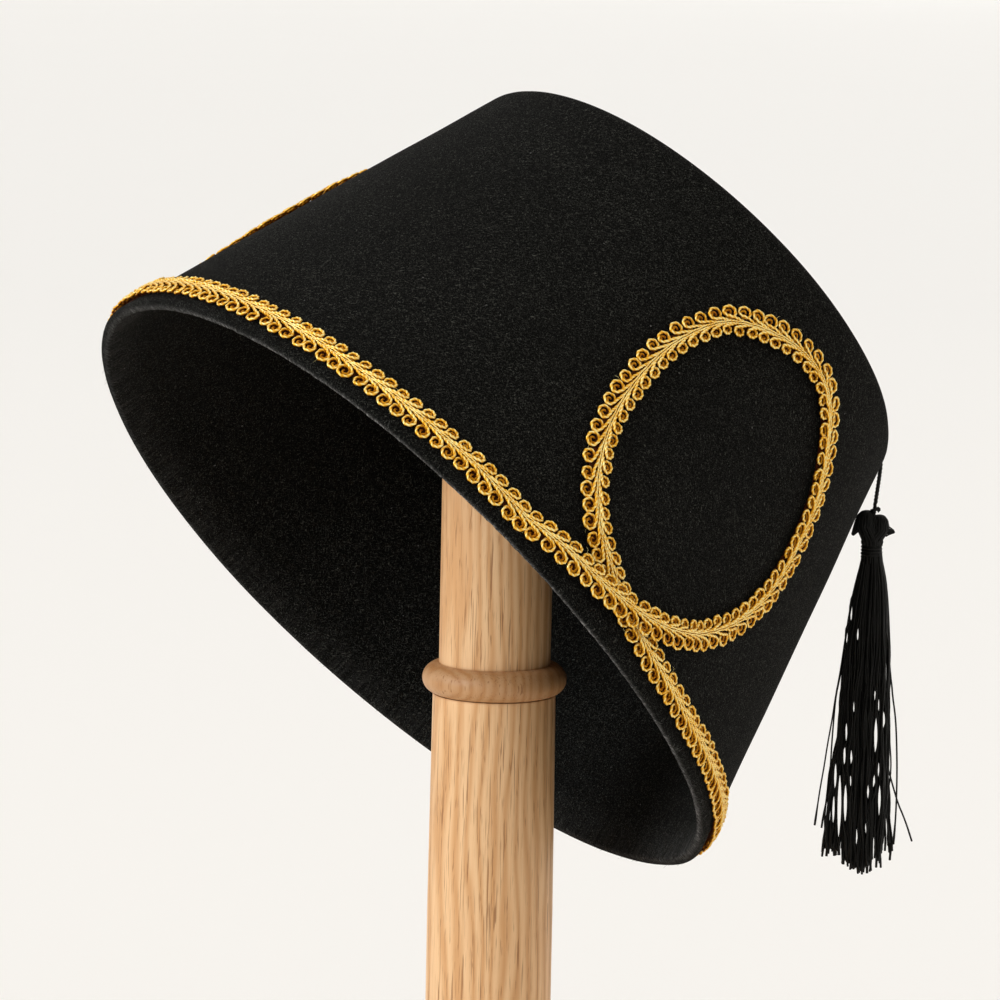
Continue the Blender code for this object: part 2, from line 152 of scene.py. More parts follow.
# The two rows of picots: name, side, stretch along and across, seed, and where the first stands
PICOT_SIDES = (
    ("braid_picots_right", 1.0, 1.10, 1.22, 23, 0.0),
    ("braid_picots_left", -1.0, 1.03, 0.92, 29, 0.45),
)
# How much picots differ in size, tilt, swing, place along and across, height, and thickness
PICOT_VARIES = (0.05, 0.10, 0.14, 0.16, 0.10, 0.05, 0.05)
PICOT_POINTS = 46
# Points of a picot's yarn over which it comes free, and how many such stretches are sewn down
PICOT_FREE = 6
PICOT_SEWN = 1.2
PICOT_YARN = 1.08
PICOT_ENDS = (0.55, 0.3)
LOWEST_YARN = 0.36 * MM
RING_UP = 1.0 * MM
# Painted shade on each picot's inner coil: from this share of its points on, the yarn is darkened
COIL_START = 0.72
COIL_OVER = 0.12
COIL_SHADE = 0.45
# Painted light on the yarn, as a base and a gain: facing outward, on a ply's ridge, and facing away from
# the ring's middle
OUTWARD_LIGHT = (0.42, 0.70)
RIDGE_LIGHT = (0.62, 0.38)
RING_LIGHT = (0.80, 0.32)
SPINE_SHIFT = -0.5 * MM
SPINE_STEP = 0.283 * MM
SPINE_YARN = 0.62
# The spine's two strands: half their distance and their height, each with its sway
SPINE_ASIDE = (0.25, 0.05)
SPINE_UP = (1.42, 0.09)
SPINE_LAG = 1.3
CORE_SHIFT = -0.35 * MM
CORE_STEP = 1.0 * MM
CORE_SWELL = 0.06
# Half section of the core threads: across and up in millimetres
CORE_HALF = ((1.55, -0.3), (1.4, 0.10), (0.85, 0.38), (0.25, 0.75))
# Loose hairs: reach of the root, length, rise and thickness in millimetres, first turn and bend
WISP_SEED = 67
WISP_POINTS = 9
WISP_ROOT = (1.2, 3.2)
WISP_LENGTH = (0.8, 2.0)
WISP_LOWEST = 0.3 * MM
WISP_UP = 0.9
WISP_RISE = (-0.2, 1.1)
WISP_ARCH = 2.2
WISP_THICK = (0.025, 0.04)
WISP_TAPER = (1.0, 0.6)
WISP_TURN = 1.2
WISP_BEND = 0.9

# Cord of the tassel: from the middle of the crown over its edge and down to the knot
CORD_ROUTE_MM = (
    (44.7, 27.8, 263.2), (45.7, 28.4, 264.2), (47.3, 28.9, 264.6), (49.3, 28.9, 263.8),
    (50.7, 28.3, 261.4), (52.1, 27.3, 258.3), (54.8, 26.5, 255.1), (60.1, 25.7, 250.5),
    (67.6, 24.5, 244.1), (76.6, 23.1, 236.3), (84.2, 21.9, 229.8), (89.8, 21.0, 225.0),
    (91.3, 20.5, 223.1), (91.8, 19.9, 221.0), (91.6, 19.8, 217.8), (91.2, 19.8, 214.3),
    (90.8, 19.8, 210.9),
)
CORD_STEP = 0.3 * MM
# Painted light on the cord's plies: a base, and the gain on their ridges
CORD_RIDGE_LIGHT = (0.3, 0.5)

# Tassel, measured in millimetres from the middle of its knot
KNOT = Vector((90.7, 19.8, 209.4)) * MM
# The end of the cord in the head, and its tight turn with a blunt end to the right
KNOT_ROUTES = (
    ((0.05, 0.0, 1.6), (0.0, -0.1, 0.6), (-0.1, 0.0, -0.6), (-0.2, 0.0, -2.0)),
    (
        (-0.5, 0.2, -0.7), (-0.75, -0.35, -0.2), (-0.15, -0.80, 0.1), (0.45, -0.55, 0.25),
        (0.85, -0.3, 0.45), (0.95, -0.3, 0.0), (0.6, -0.3, -0.3),
    ),
)
KNOT_POINTS = 16
KNOT_CORD = 0.9
SKIRT_SEED = 41
SKIRT_POINTS = 40
# The skirt where it is still gathered: drop, half width and middle
SKIRT_ROWS = (
    (8.4, 2.1, -0.45),
    (12.2, 2.5, -0.45),
    (15.7, 3.3, -0.45),
    (20.6, 4.1, -0.60),
    (30.0, 5.0, -0.95),
    (45.0, 5.8, -1.40),
)
# Bundles in which the skirt's threads hang: their places across at the middle drop, at the low
# drop and at the tips, their depth, how far down they reach, how many threads, and their spread
BUNDLE_ROWS = (
    (-7.1, -9.1, -10.7, 0.5, 82.4, 8, 0.28),
    (-6.9, -8.6, -9.7, -0.4, 82.6, 9, 0.32),
    (-6.7, -7.9, -8.8, -0.8, 81.4, 8, 0.30),
    (-6.4, -7.4, -7.9, 0.6, 83.4, 7, 0.30),
    (-6.0, -6.6, -7.1, -0.2, 82.4, 8, 0.25),
    (-5.4, -5.9, -5.9, -1.0, 84.0, 10, 0.45),
    (-4.7, -5.0, -4.9, -2.2, 84.4, 18, 0.60),
    (-3.3, -3.8, -3.4, -3.2, 84.8, 24, 0.90),
    (-1.2, -1.6, -1.7, -4.0, 85.6, 26, 1.00),
    (0.3, -0.2, -0.4, -4.2, 84.2, 16, 0.70),
    (2.2, 2.0, 1.7, -3.0, 83.0, 26, 0.90),
    (3.8, 3.9, 3.0, -0.8, 80.6, 12, 0.40),
    (4.2, 4.3, 5.6, 0.6, 82.0, 8, 0.22),
    (-4.6, -5.2, -4.9, 2.6, 82.5, 16, 0.80),
    (-1.4, -1.8, -1.6, 4.5, 84.0, 18, 1.10),
    (1.6, 1.2, 0.9, 3.8, 82.5, 14, 0.90),
)
FRONT_DEPTH = 2.0
# The threads stay close down to the bend, and reach their low places at the low drop
BEND_DROP = 54.5
BEND_SHARE = 0.22
LOW_DROP = 63.0
# How much deeper the threads hang there and at the tips
LOW_DEEPER = 1.05
TIP_DEEPER = 1.1
# Share of its own place that a thread keeps at its tip, and of another that it takes there
TIP_KEEPS = 0.6
TIP_TAKES = 0.4
LENGTH_SPREAD = 1.0
# Shares of the set thickness that threads take, and how much their last three points swell
THREAD_WIDTHS = (0.85, 1.12)
TIP_SWELL = (0.5, 1.0, 0.8)
TIP_SWELL_MOST = 0.6
# Slight waves of the threads, freer the lower they hang: how far apart, and how deep
THREAD_WAVES = ((27.0, 0.26), (13.0, 0.13))
WAVE_VARIES = (0.8, 1.25)
FREE_FROM = 14.0
FREE_OVER = 24.0
# How far the skirt hangs aside for each millimetre down, and how much longer it hangs
HANG_ASIDE = 0.0109
HANG_LONGER = 1.016
# Threads that hang evenly between the bundles, behind and before the skirt's middle
CURTAIN_THREADS = 84
CURTAIN_EDGES = (-7.2, 4.1)
CURTAIN_DEPTH = 1.4
CURTAIN_SPREAD = 0.10
CURTAIN_SHORTER = 2.2
# Slits where the threads part: place across, drops where one opens and closes, and its width.
# A slit runs through the skirt at a slant, so far across for each millimetre of depth.
SLIT_SLANT = 0.084
# How much longer a slit is at each end, the share of its width that is open, and its shape
SLIT_LONGER = 0.9
SLIT_OPEN = 0.85
SLIT_BLUNT = 0.6
SLIT_ROWS = (
    (-5.15, 22.3, 27.0, 0.45),
    (-6.10, 28.3, 32.2, 0.35),
    (-3.50, 28.5, 31.2, 0.50),
    (3.70, 30.3, 44.0, 0.50),
    (0.95, 42.3, 46.2, 0.35),
    (-4.10, 45.8, 49.2, 0.40),
    (1.90, 45.0, 49.0, 0.30),
    (3.25, 48.6, 52.4, 0.60),
    (-5.80, 51.4, 55.6, 0.50),
    (1.35, 49.5, 58.8, 0.90),
    (-6.15, 57.0, 61.6, 0.60),
    (-4.45, 57.5, 61.6, 0.60),
    (2.20, 60.6, 64.0, 0.40),
    (-4.50, 63.4, 66.6, 0.40),
    (1.15, 63.2, 67.4, 0.60),
    (-0.25, 65.6, 70.2, 0.60),
    (2.55, 65.8, 73.4, 0.70),
    (-8.25, 61.0, 67.4, 0.60),
    (-7.15, 63.8, 79.4, 1.00),
    (-5.70, 66.0, 76.0, 0.90),
    (-8.55, 69.3, 75.4, 0.60),
    (-0.65, 75.0, 78.4, 0.45),
    (-2.75, 77.2, 81.2, 0.50),
    (1.35, 77.8, 84.0, 0.50),
)
# Threads that hang apart from the rest: places across, in depth and down
STRAY_ROUTES = (
    (
        (-3.6, 0.0, 15.0), (-4.8, 0.0, 20.0), (-5.6, 0.1, 24.6), (-6.4, 0.2, 30.4),
        (-7.55, 0.3, 39.1), (-8.5, 0.3, 44.8), (-9.3, 0.4, 50.8), (-10.2, 0.5, 56.4),
        (-11.0, 0.6, 62.2), (-11.9, 0.7, 68.0), (-13.0, 0.8, 76.5),
    ),
    (
        (-3.4, 0.5, 15.0), (-4.6, 0.6, 20.0), (-5.4, 0.8, 25.0), (-6.3, 0.9, 31.0),
        (-7.3, 1.0, 39.1), (-8.35, 1.1, 45.0), (-8.8, 1.2, 50.6), (-9.15, 1.3, 56.4),
        (-9.4, 1.4, 62.2), (-9.8, 1.5, 68.0), (-10.8, 1.4, 73.7), (-11.3, 1.2, 77.2),
    ),
    (
        (2.6, -0.4, 15.0), (3.6, -0.6, 24.0), (4.0, -0.8, 33.3), (4.5, -0.9, 39.1),
        (4.9, -1.0, 42.0), (5.2, -1.0, 44.8), (5.95, -1.0, 50.0), (6.4, -1.0, 57.0),
        (6.6, -1.0, 65.0), (6.5, -0.8, 73.7), (6.1, -0.5, 80.5),
    ),
    (
        (3.2, 0.8, 22.0), (4.0, 1.2, 46.0), (4.1, 1.5, 57.0), (4.6, 1.6, 62.0), (5.4, 1.8, 65.1),
        (7.2, 2.2, 70.8), (8.45, 2.4, 73.7), (9.6, 2.7, 76.6), (10.9, 3.0, 80.4),
    ),
)
STRAY_ROOT = (1.2, 0.0, -9.5)
NECK_MIDDLE = -0.45
NECK_RADIUS = 1.95
NECK_LOOSE = 0.35
NECK_CENTRE = (NECK_MIDDLE, 0.0, -8.2)
NECK_SIZES = (NECK_RADIUS, NECK_RADIUS, 4.6)
# The threads' way down the neck: share of the neck's radius, and drop
NECK_ROWS = ((1.12, 7.4), (1.0, 8.8), (1.03, 10.4), (1.08, 12.8))
HEAD_SEED = 5
LOBE_THREADS = 40
LOBE_JITTER = 0.4
LOBE_POINTS = 30
LOBE_THREAD = 0.95
# Where a lobe's threads start: share of the lobe's place across, and reach round it
LOBE_START = (0.35, 0.2)
LOBE_TURNS = (14, 36, 62, 88, 112)
LOBE_UNEVEN = (0.93, 1.05)
LOBE_FILL = 0.93
# Lobes of the head: place across and up, half width and half height
LOBE_ROWS = (
    (-1.90, -3.1, 2.50, 2.85),
    (1.30, -4.0, 2.15, 2.75),
)
# Tufts at both sides: root and tip across and up, how many threads, and their spread
EAR_ROWS = (
    (-3.5, -3.6, -5.15, -6.2, 18, 0.50),
    (2.6, -5.1, 4.80, -5.25, 30, 0.65),
)
EAR_POINTS = 10
EAR_TAPER = (1.1, 0.45)
EAR_GATHER = 0.25
EAR_ARCH = 0.1
# Share of each thread's own tone, and of the painted light on the knot's and binding's ply ridges
HEAD_TONE_AND_RIDGE_LIGHT = 0.6
# Thread wound round the neck
BINDING_TURNS = 3.6
BINDING_POINTS = 110
BINDING_DROP = 8.6
BINDING_HEIGHT = 2.9
BINDING_REACH = 2.32
BINDING_UNEVEN = 0.05
BINDING_BEATS = 1.7
BINDING_THREAD = 0.72 * MM

# Wooden stand
HEAD_RADIUS = 40.0 * MM
HEAD_CENTRE = 257.0 * MM
HEAD_UNDER = 8.0 * MM
HEAD_ROUND = 4.0 * MM
POST_UPPER = 13.25 * MM
POST_LOWER = 14.6 * MM
POST_WAIST = 15.0 * MM
POST_FOOT = 19.0 * MM
RING_HEIGHT = 170.0 * MM
RING_RADIUS = 17.15 * MM
RING_HALF = 3.7 * MM
BASE_RADIUS = 75.0 * MM
BASE_THICK = 20.0 * MM
BASE_ROUND = 7.0 * MM
BASE_CHAMFER = 1.5 * MM
TENON_RADIUS = 8.0 * MM
TENON_LENGTH = 14.0 * MM
POST_WAIST_HEIGHT = 114.0 * MM

# Camera of the photograph
CAMERA_PLACE = Vector((0.00048, -1.05405, 0.35133))
CAMERA_RIGHT = Vector((0.9998, 0.0026, 0.0199))
CAMERA_DOWN = Vector((0.0201, -0.1305, -0.9912))
CAMERA_AHEAD = Vector((0.0, 0.9914, -0.1305))
CAMERA_LENS = 162.0

# Floor and light: the floor runs far out and bends up, and the key light shines this way
FLOOR_NEAR = 4.0
FLOOR_REACH = 17.0
FLOOR_BEND = 5.0
KEY_WAY = Vector((1.0, 0.55, -0.48))
KEY_SPREAD = math.radians(34)
KEY_TINT = (0.95, 1.0, 1.07)
LEFT_TINT = (0.97, 0.99, 1.02)
RIGHT_TINT = (1.0, 0.45, 0.14)
OVERHEAD_TINT = (1.0, 0.985, 0.95)


def slope():
    """Angle between the cap's wall and its axis."""
    return math.atan2(RIM_RADIUS - CROWN_RADIUS, CAP_HEIGHT)


def wall_radius(height):
    """Outer radius of the cap's wall at a height above the rim."""
    return RIM_RADIUS + (CROWN_RADIUS - RIM_RADIUS) * height / CAP_HEIGHT


def rim_rise(side):
    """How far the real rim lies above its plane on one side of the cap."""
    lean = RIM_LEAN * math.cos(side - RIM_LEAN_SIDE)
    return lean + RIM_WAVE * math.cos(2 * (side - RIM_WAVE_SIDE))


def arc(centre, radius, start, end, steps):
    """Points of an arc in the profile plane, angles in degrees from +X towards +Z."""
    angles = [math.radians(start + (end - start) * i / steps) for i in range(steps + 1)]
    return [(centre[0] + radius * math.cos(a), centre[1] + radius * math.sin(a)) for a in angles]


def row_points(start, end, rows):
    """Points along a straight line, its start among them and its end not."""
    return [tuple(a + (b - a) * i / rows for a, b in zip(start, end)) for i in range(rows)]


def smooth_point(rows, share):
    """Point on the smooth curve through rows of numbers, at a share counted in rows."""
    last = len(rows) - 1
    index = min(int(share), last - 1)
    t = share - index
    a, b, c, d = (rows[max(0, min(last, index + i))] for i in (-1, 0, 1, 2))
    out = []
    for p, q, r, s in zip(a, b, c, d):
        pull = (2 * p - 5 * q + 4 * r - s) * t * t
        out.append(0.5 * (2 * q + (r - p) * t + pull + (3 * q - p - 3 * r + s) * t ** 3))
    return out


def smooth_route(rows, fine=FINE):
    """Many points on the smooth curve through rows of numbers, as an array."""
    count = (len(rows) - 1) * fine
    return np.array([smooth_point(rows, i / fine) for i in range(count + 1)])


def evened(points, count):
    """A chain of points read again at even distances by its first three columns."""
    steps = np.linalg.norm(np.diff(points[:, :3], axis=0), axis=1)
    lengths = np.concatenate(([0.0], np.cumsum(steps)))
    wanted = np.linspace(0.0, lengths[-1], count)
    return np.stack([np.interp(wanted, lengths, column) for column in points.T], axis=1)


def chain_length(points):
    return float(np.linalg.norm(np.diff(points, axis=0), axis=1).sum())


def cap_place():
    """Where the cap comes to rest: its wall and its top both touch the stand's head."""
    reach = FELT + GAP + HEAD_RADIUS
    seat_height = CAP_HEIGHT - reach
    seat_radius = wall_radius(seat_height) - reach / math.cos(slope())
    seat = Vector((math.cos(SEAT_SIDE), math.sin(SEAT_SIDE), 0.0)) * seat_radius
    seat.z = seat_height
    turn = Matrix.Rotation(LEAN_TOWARDS, 4, "Z") @ Matrix.Rotation(LEAN, 4, "Y")
    centre = Vector((0.0, 0.0, HEAD_CENTRE)) - turn.to_3x3() @ seat
    return Matrix.Translation(centre) @ turn


def unit(vectors):
    return vectors / np.linalg.norm(vectors, axis=-1, keepdims=True)


def sideways(angles):
    """Level directions at angles round the upright axis."""
    return np.stack((np.cos(angles), np.sin(angles), np.zeros_like(angles)), axis=1)


# Making pieces of mesh


def in_scene(name, data):
    """A new object in the scene."""
    obj = bpy.data.objects.new(name, data)
    bpy.context.scene.collection.objects.link(obj)
    return obj


def mesh_piece(name, points, faces, finish, place=None, marks=None):
    """A smooth mesh object, with named numbers kept at its points for its finish to read."""
    if place is not None:
        place = np.array(place)
        points = points @ place[:3, :3].T + place[:3, 3]
    mesh = bpy.data.meshes.new(name)
    mesh.from_pydata(points.tolist(), [], faces)
    for mark, values in (marks or {}).items():
        layer = mesh.attributes.new(mark, "FLOAT", "POINT")
        layer.data.foreach_set("value", np.asarray(values, np.float32).ravel())
    mesh.shade_smooth()
    mesh.materials.append(finish)
    return in_scene(name, mesh)


def dress(obj, slot, *nodes):
    """Makes a piece ride on the part and stand for plain solids, which it hides."""
    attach(obj, "root")
    if nodes:
        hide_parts(*nodes)
    return obj


def cap_piece(name, points, faces, finish, marks, slot, *nodes):
    """A piece of mesh made in the cap's own frame, and dressed."""
    return dress(mesh_piece(name, points, faces, finish, cap_place(), marks), slot, *nodes)


def faces_between(here, there, *shapes):
    """Faces between rows of points that close on themselves, each shape a choice of corners."""
    corners = (here, np.roll(here, -1, axis=-1), np.roll(there, -1, axis=-1), there)
    corners = np.stack([corner.reshape(-1) for corner in corners], axis=1)
    return np.concatenate([corners[:, list(shape)] for shape in shapes]).tolist()


def carried_frames(paths):
    """Two directions across each path at each point, carried along it without twisting."""
    ahead = unit(np.gradient(paths, axis=1))
    first = np.empty_like(paths)
    start = np.zeros_like(paths[:, 0])
    start[:, 0] = 1.0
    start[np.abs(ahead[:, 0, 0]) > 0.8] = (0.0, 1.0, 0.0)
    for row in range(paths.shape[1]):
        way = ahead[:, row]
        start = unit(start - (start * way).sum(axis=1, keepdims=True) * way)
        first[:, row] = start
    return first, np.cross(ahead, first)


def spun(paths, radii, sides=YARN_SIDES, plies=2, hollow=0.72, frames=None, closed=False, offsets=0):
    """Points, faces and ridge marks of twisted yarns along paths of equally many points.

    Each row of points is turned by one side, so that every ply's crest runs along the mesh's own
    diagonals. With one ply the yarn is plain and round. The finishes read the crest marks as painted
    light on the crests and painted shade between the plies.
    """
    count, rows = paths.shape[:2]
    first, second = carried_frames(paths) if frames is None else frames
    around = FULL_TURN * np.arange(sides) / sides
    side = np.arange(sides)[None, None, :]
    row = np.arange(rows)[None, :, None]
    shift = np.broadcast_to(np.asarray(offsets).reshape(-1, 1, 1), (count, 1, 1))
    lit_ridge = np.ones((count, rows, sides))
    if plies > 1:
        lit_ridge = ((side - row + shift) % (sides // plies) == 0).astype(float)
    reach = (hollow + (1 - hollow) * lit_ridge) * np.broadcast_to(radii, (count, rows))[:, :, None]
    across = np.cos(around)[:, None] * first[:, :, None] + np.sin(around)[:, None] * second[:, :, None]
    points = paths[:, :, None] + reach[..., None] * across
    index = np.arange(count * rows * sides).reshape(count, rows, sides)
    here, there = (index, np.roll(index, -1, axis=1)) if closed else (index[:, :-1], index[:, 1:])
    faces = faces_between(here, there, (0, 1, 2), (0, 2, 3))
    if not closed:
        faces += index[:, 0, ::-1].tolist() + index[:, -1].tolist()
    return points.reshape(-1, 3), faces, lit_ridge.reshape(-1)


def turned(name, profile, finish, steps=160):
    """A turned solid: the profile runs down its outer side, from the axis back to the axis."""
    mesh = bpy.data.meshes.new(name)
    points = [(x, 0.0, z) for x, z in profile]
    mesh.from_pydata(points, [(i, i + 1) for i in range(len(points) - 1)], [])
    mesh.materials.append(finish)
    obj = in_scene(name, mesh)
    screw = obj.modifiers.new("Turn", "SCREW")
    screw.steps = steps
    screw.render_steps = steps
    screw.use_merge_vertices = True
    screw.merge_threshold = 0.00001
    screw.use_smooth_shade = True
    split = obj.modifiers.new("Sharp edges", "EDGE_SPLIT")
    split.split_angle = math.radians(40)
    return obj


# Finishes made of nodes


def sum_with(operation, reflected=False):
    """A method that adds the node for one operation on a tap and, if need be, a second value."""

    def method(tap, other=0.0):
        pair = (other, tap) if reflected else (tap, other)
        return tap.finish.node("ShaderNodeMath", {"operation": operation}, dict(enumerate(pair)))

    return method


class Tap:
    """A socket in a finish's nodes. Sums with it add the nodes that work them out."""

    def __init__(self, finish, socket):
        self.finish = finish
        self.socket = socket

    __add__ = sum_with("ADD")
    __radd__ = sum_with("ADD", reflected=True)
    __sub__ = sum_with("SUBTRACT")
    __rsub__ = sum_with("SUBTRACT", reflected=True)
    __mul__ = sum_with("MULTIPLY")
    __rmul__ = sum_with("MULTIPLY", reflected=True)
    __pow__ = sum_with("POWER")
    __rpow__ = sum_with("POWER", reflected=True)
    __gt__ = sum_with("GREATER_THAN")
    __lt__ = sum_with("LESS_THAN")
    most = sum_with("MAXIMUM")
    sine = sum_with("SINE")

    def other(self, name):
        """Another output of the node that this socket belongs to."""
        return Tap(self.finish, self.socket.node.outputs[name])

    def ramp(self, low, high):
        """0 below low, 1 above high, and evenly between."""
        inputs = {"Value": self, "From Min": low, "From Max": high}
        return self.finish.node("ShaderNodeMapRange", {"clamp": True}, inputs)


class Finish:
    """A look made of nodes: one of the hat's or the stand's own surfaces, or the light around."""

    def __init__(self, name, kind=None):
        self.kept = (bpy.data.materials if kind is None else kind).new(name)
        self.kept.use_nodes = True
        self.tree = self.kept.node_tree
        self.tree.nodes.clear()

    def node(self, kind, settings=None, inputs=None, out=0):
        """Adds a node, sets it up, fills its sockets, and gives one of its outputs."""
        made = self.tree.nodes.new(kind)
        for name, value in (settings or {}).items():
            setattr(made, name, value)
        for name, value in (inputs or {}).items():
            if isinstance(value, Tap):
                self.tree.links.new(value.socket, made.inputs[name])
            else:
                made.inputs[name].default_value = value
        return Tap(self, made.outputs[out]) if made.outputs else None

    def millimetres(self, stretch=(1.0, 1.0, 1.0)):
        """Places on the piece in millimetres, shrunk along each axis by the stretch."""
        place = self.node("ShaderNodeTexCoord", out="Object")
        scale = tuple(share / MM for share in stretch)
        return self.node("ShaderNodeVectorMath", {"operation": "MULTIPLY"}, {0: place, 1: scale})

    def mark(self, name):
        return self.node("ShaderNodeAttribute", {"attribute_name": name}, out="Fac")

    def cloud(self, place, size, detail=2.0, roughness=0.5, distortion=0.0):
        """Soft noise whose patches are about as wide as size."""
        inputs = {
            "Vector": place,
            "Scale": 1.0 / size,
            "Detail": detail,
            "Roughness": roughness,
            "Distortion": distortion,
        }
        return self.node("ShaderNodeTexNoise", None, inputs, out="Fac")

    def mix(self, share, first, second):
        """Colour between two colours, each given as numbers or as another node's."""
        colours = [c if isinstance(c, Tap) else (*c, 1.0) for c in (first, second)]
        inputs = {0: share, 6: colours[0], 7: colours[1]}
        return self.node("ShaderNodeMix", {"data_type": "RGBA"}, inputs, out=2)

    def bump(self, height, distance, strength=1.0):
        inputs = {"Height": height, "Distance": distance, "Strength": strength}
        return self.node("ShaderNodeBump", None, inputs)

    def shade(self, **inputs):
        """Closes the finish with its shader, and gives the material."""
        named = {name.replace("_", " ").title().replace("Ior", "IOR"): v for name, v in inputs.items()}
        shader = self.node("ShaderNodeBsdfPrincipled", None, named)
        self.node("ShaderNodeOutputMaterial", None, {"Surface": shader})
        return self.kept


def felt_finish(felt):
    """Black felt: matted fibres, paler where it is cut and palest there at one side as painted light,
    with a few specks of lint.
    """
    finish = Finish("Black felt")
    place = finish.millimetres()
    lying = [finish.cloud(finish.millimetres(way), 0.30, 3.0, 0.65, 0.8) for way in FIBRE_WAYS]
    fibres = lying[0].most(lying[1]).most(lying[2])
    patches = finish.cloud(place, 24.0, 2.0)
    lit = fibres.ramp(0.57, 0.72) ** 1.4 * (0.55 + patches * 0.9)
    cloth = finish.mix(lit, felt.colour, felt.pale)
    cut = finish.mark("cut")
    spread = finish.node("ShaderNodeCombineXYZ", None, {0: finish.mark("around"), 1: cut * 0.8})
    shreds = finish.cloud(spread, 0.7, 4.0, 0.75, 0.6).ramp(0.46, 0.60)
    worn = finish.cloud(place, 7.0, 2.0).ramp(0.35, 0.6) * 0.45 + 0.55
    # The paler cut: its own frayed fibres, laid on most at one side of the cap as painted light
    fray_light = cut * finish.mark("fray_light") * worn * (0.10 + shreds * 0.90)
    cloth = finish.mix(fray_light, cloth, felt.lit_cut_colour)
    cells = finish.node("ShaderNodeTexVoronoi", None, {"Vector": place, "Scale": 0.30}, out="Distance")
    chance = finish.node("ShaderNodeSeparateColor", None, {0: cells.other("Color")}, out="Red")
    speck = (cells - (fibres - 0.5) * 0.35 < 0.03) * (chance > 0.72)
    cloth = finish.mix(speck * 0.30, cloth, felt.lint_colour)
    return finish.shade(
        base_color=cloth,
        roughness=0.95,
        normal=finish.bump(fibres + shreds * cut, 0.5 * MM, 1.0),
        specular_ior_level=0.045,
        sheen_weight=0.012,
        sheen_roughness=0.5,
        sheen_tint=(0.95, 0.93, 0.88, 1.0),
    )


def fuzz_finish(felt):
    """Loose felt fibres, a few of them pale lint."""
    finish = Finish("Felt fuzz")
    colour = finish.mix(finish.mark("pale"), felt.fibre_colour, felt.lint_colour)
    dull = finish.cloud(finish.millimetres(), 3.0, 3.0).ramp(0.35, 0.65)
    colour = finish.mix(dull * 0.75, colour, felt.colour)
    return finish.shade(base_color=colour, roughness=0.8, specular_ior_level=0.15)


def yarn_finish(braid):
    """Lustrous gold yarn with painted light: bright on the plies' ridges and where it faces outward, with
    a painted highlight, and painted orange shade between the plies.
    """
    finish = Finish("Gold yarn")
    place = finish.millimetres()
    tone = finish.cloud(place, 2.4, 2.0)
    hair = finish.cloud(place, 0.22, 3.0, 0.6)
    lit_ridge = finish.mark("lit_ridge")
    # Painted light and shade: the gold where the light mark is full, the painted shade colour where it is
    # low
    lit = (lit_ridge + hair * 0.5 + tone * 0.5 - 0.45).ramp(0.0, 0.69)
    colour = finish.mix(lit, braid.yarn_shade_colour, braid.yarn_colour)
    # Painted highlight where the light mark is full
    shine = (lit_ridge * (hair * 0.7 + tone * 0.7)).ramp(0.33, 0.60)
    colour = finish.mix(shine * 0.95, colour, braid.shine_colour)
    return finish.shade(
        base_color=colour,
        metallic=0.3,
        roughness=0.38 - 0.16 * hair,
        normal=finish.bump(hair, 0.05 * MM, 0.6),
        specular_ior_level=0.5,
        specular_tint=(1.0, 0.52, 0.10, 1.0),
    )


def core_finish(braid):
    """Core threads of the braid, coloured deep orange brown as painted shade under the yarn."""
    finish = Finish("Braid core")
    place = finish.millimetres()
    lines = finish.cloud(place, 0.45, 3.0, 0.6, 1.5).ramp(0.42, 0.62)
    colour = finish.mix(lines * 0.4, braid.core_shade_colour, braid.yarn_shade_colour)
    return finish.shade(
        base_color=colour,
        roughness=0.7,
        normal=finish.bump(lines, 0.25 * MM),
        specular_ior_level=0.1,
    )


def thread_finish(tassel):
    """Shiny black thread: fine fibres along it, each thread a little lighter or darker, and on the cord,
    knot and binding painted light on the plies' ridges with painted shade between them.
    """
    finish = Finish("Black tassel thread")
    fibres = finish.cloud(finish.millimetres((1.0, 1.0, 0.12)), 0.16, 3.0, 0.6)
    tone = finish.mark("tone")
    lit = (fibres * 0.5 + tone * 0.6).ramp(0.1, 0.95)
    colour = finish.mix(lit, tassel.colour, tassel.lit_colour)
    return finish.shade(
        base_color=colour,
        roughness=0.55 - 0.15 * fibres,
        normal=finish.bump(fibres, 0.04 * MM, 0.7),
        specular_ior_level=0.15,
    )


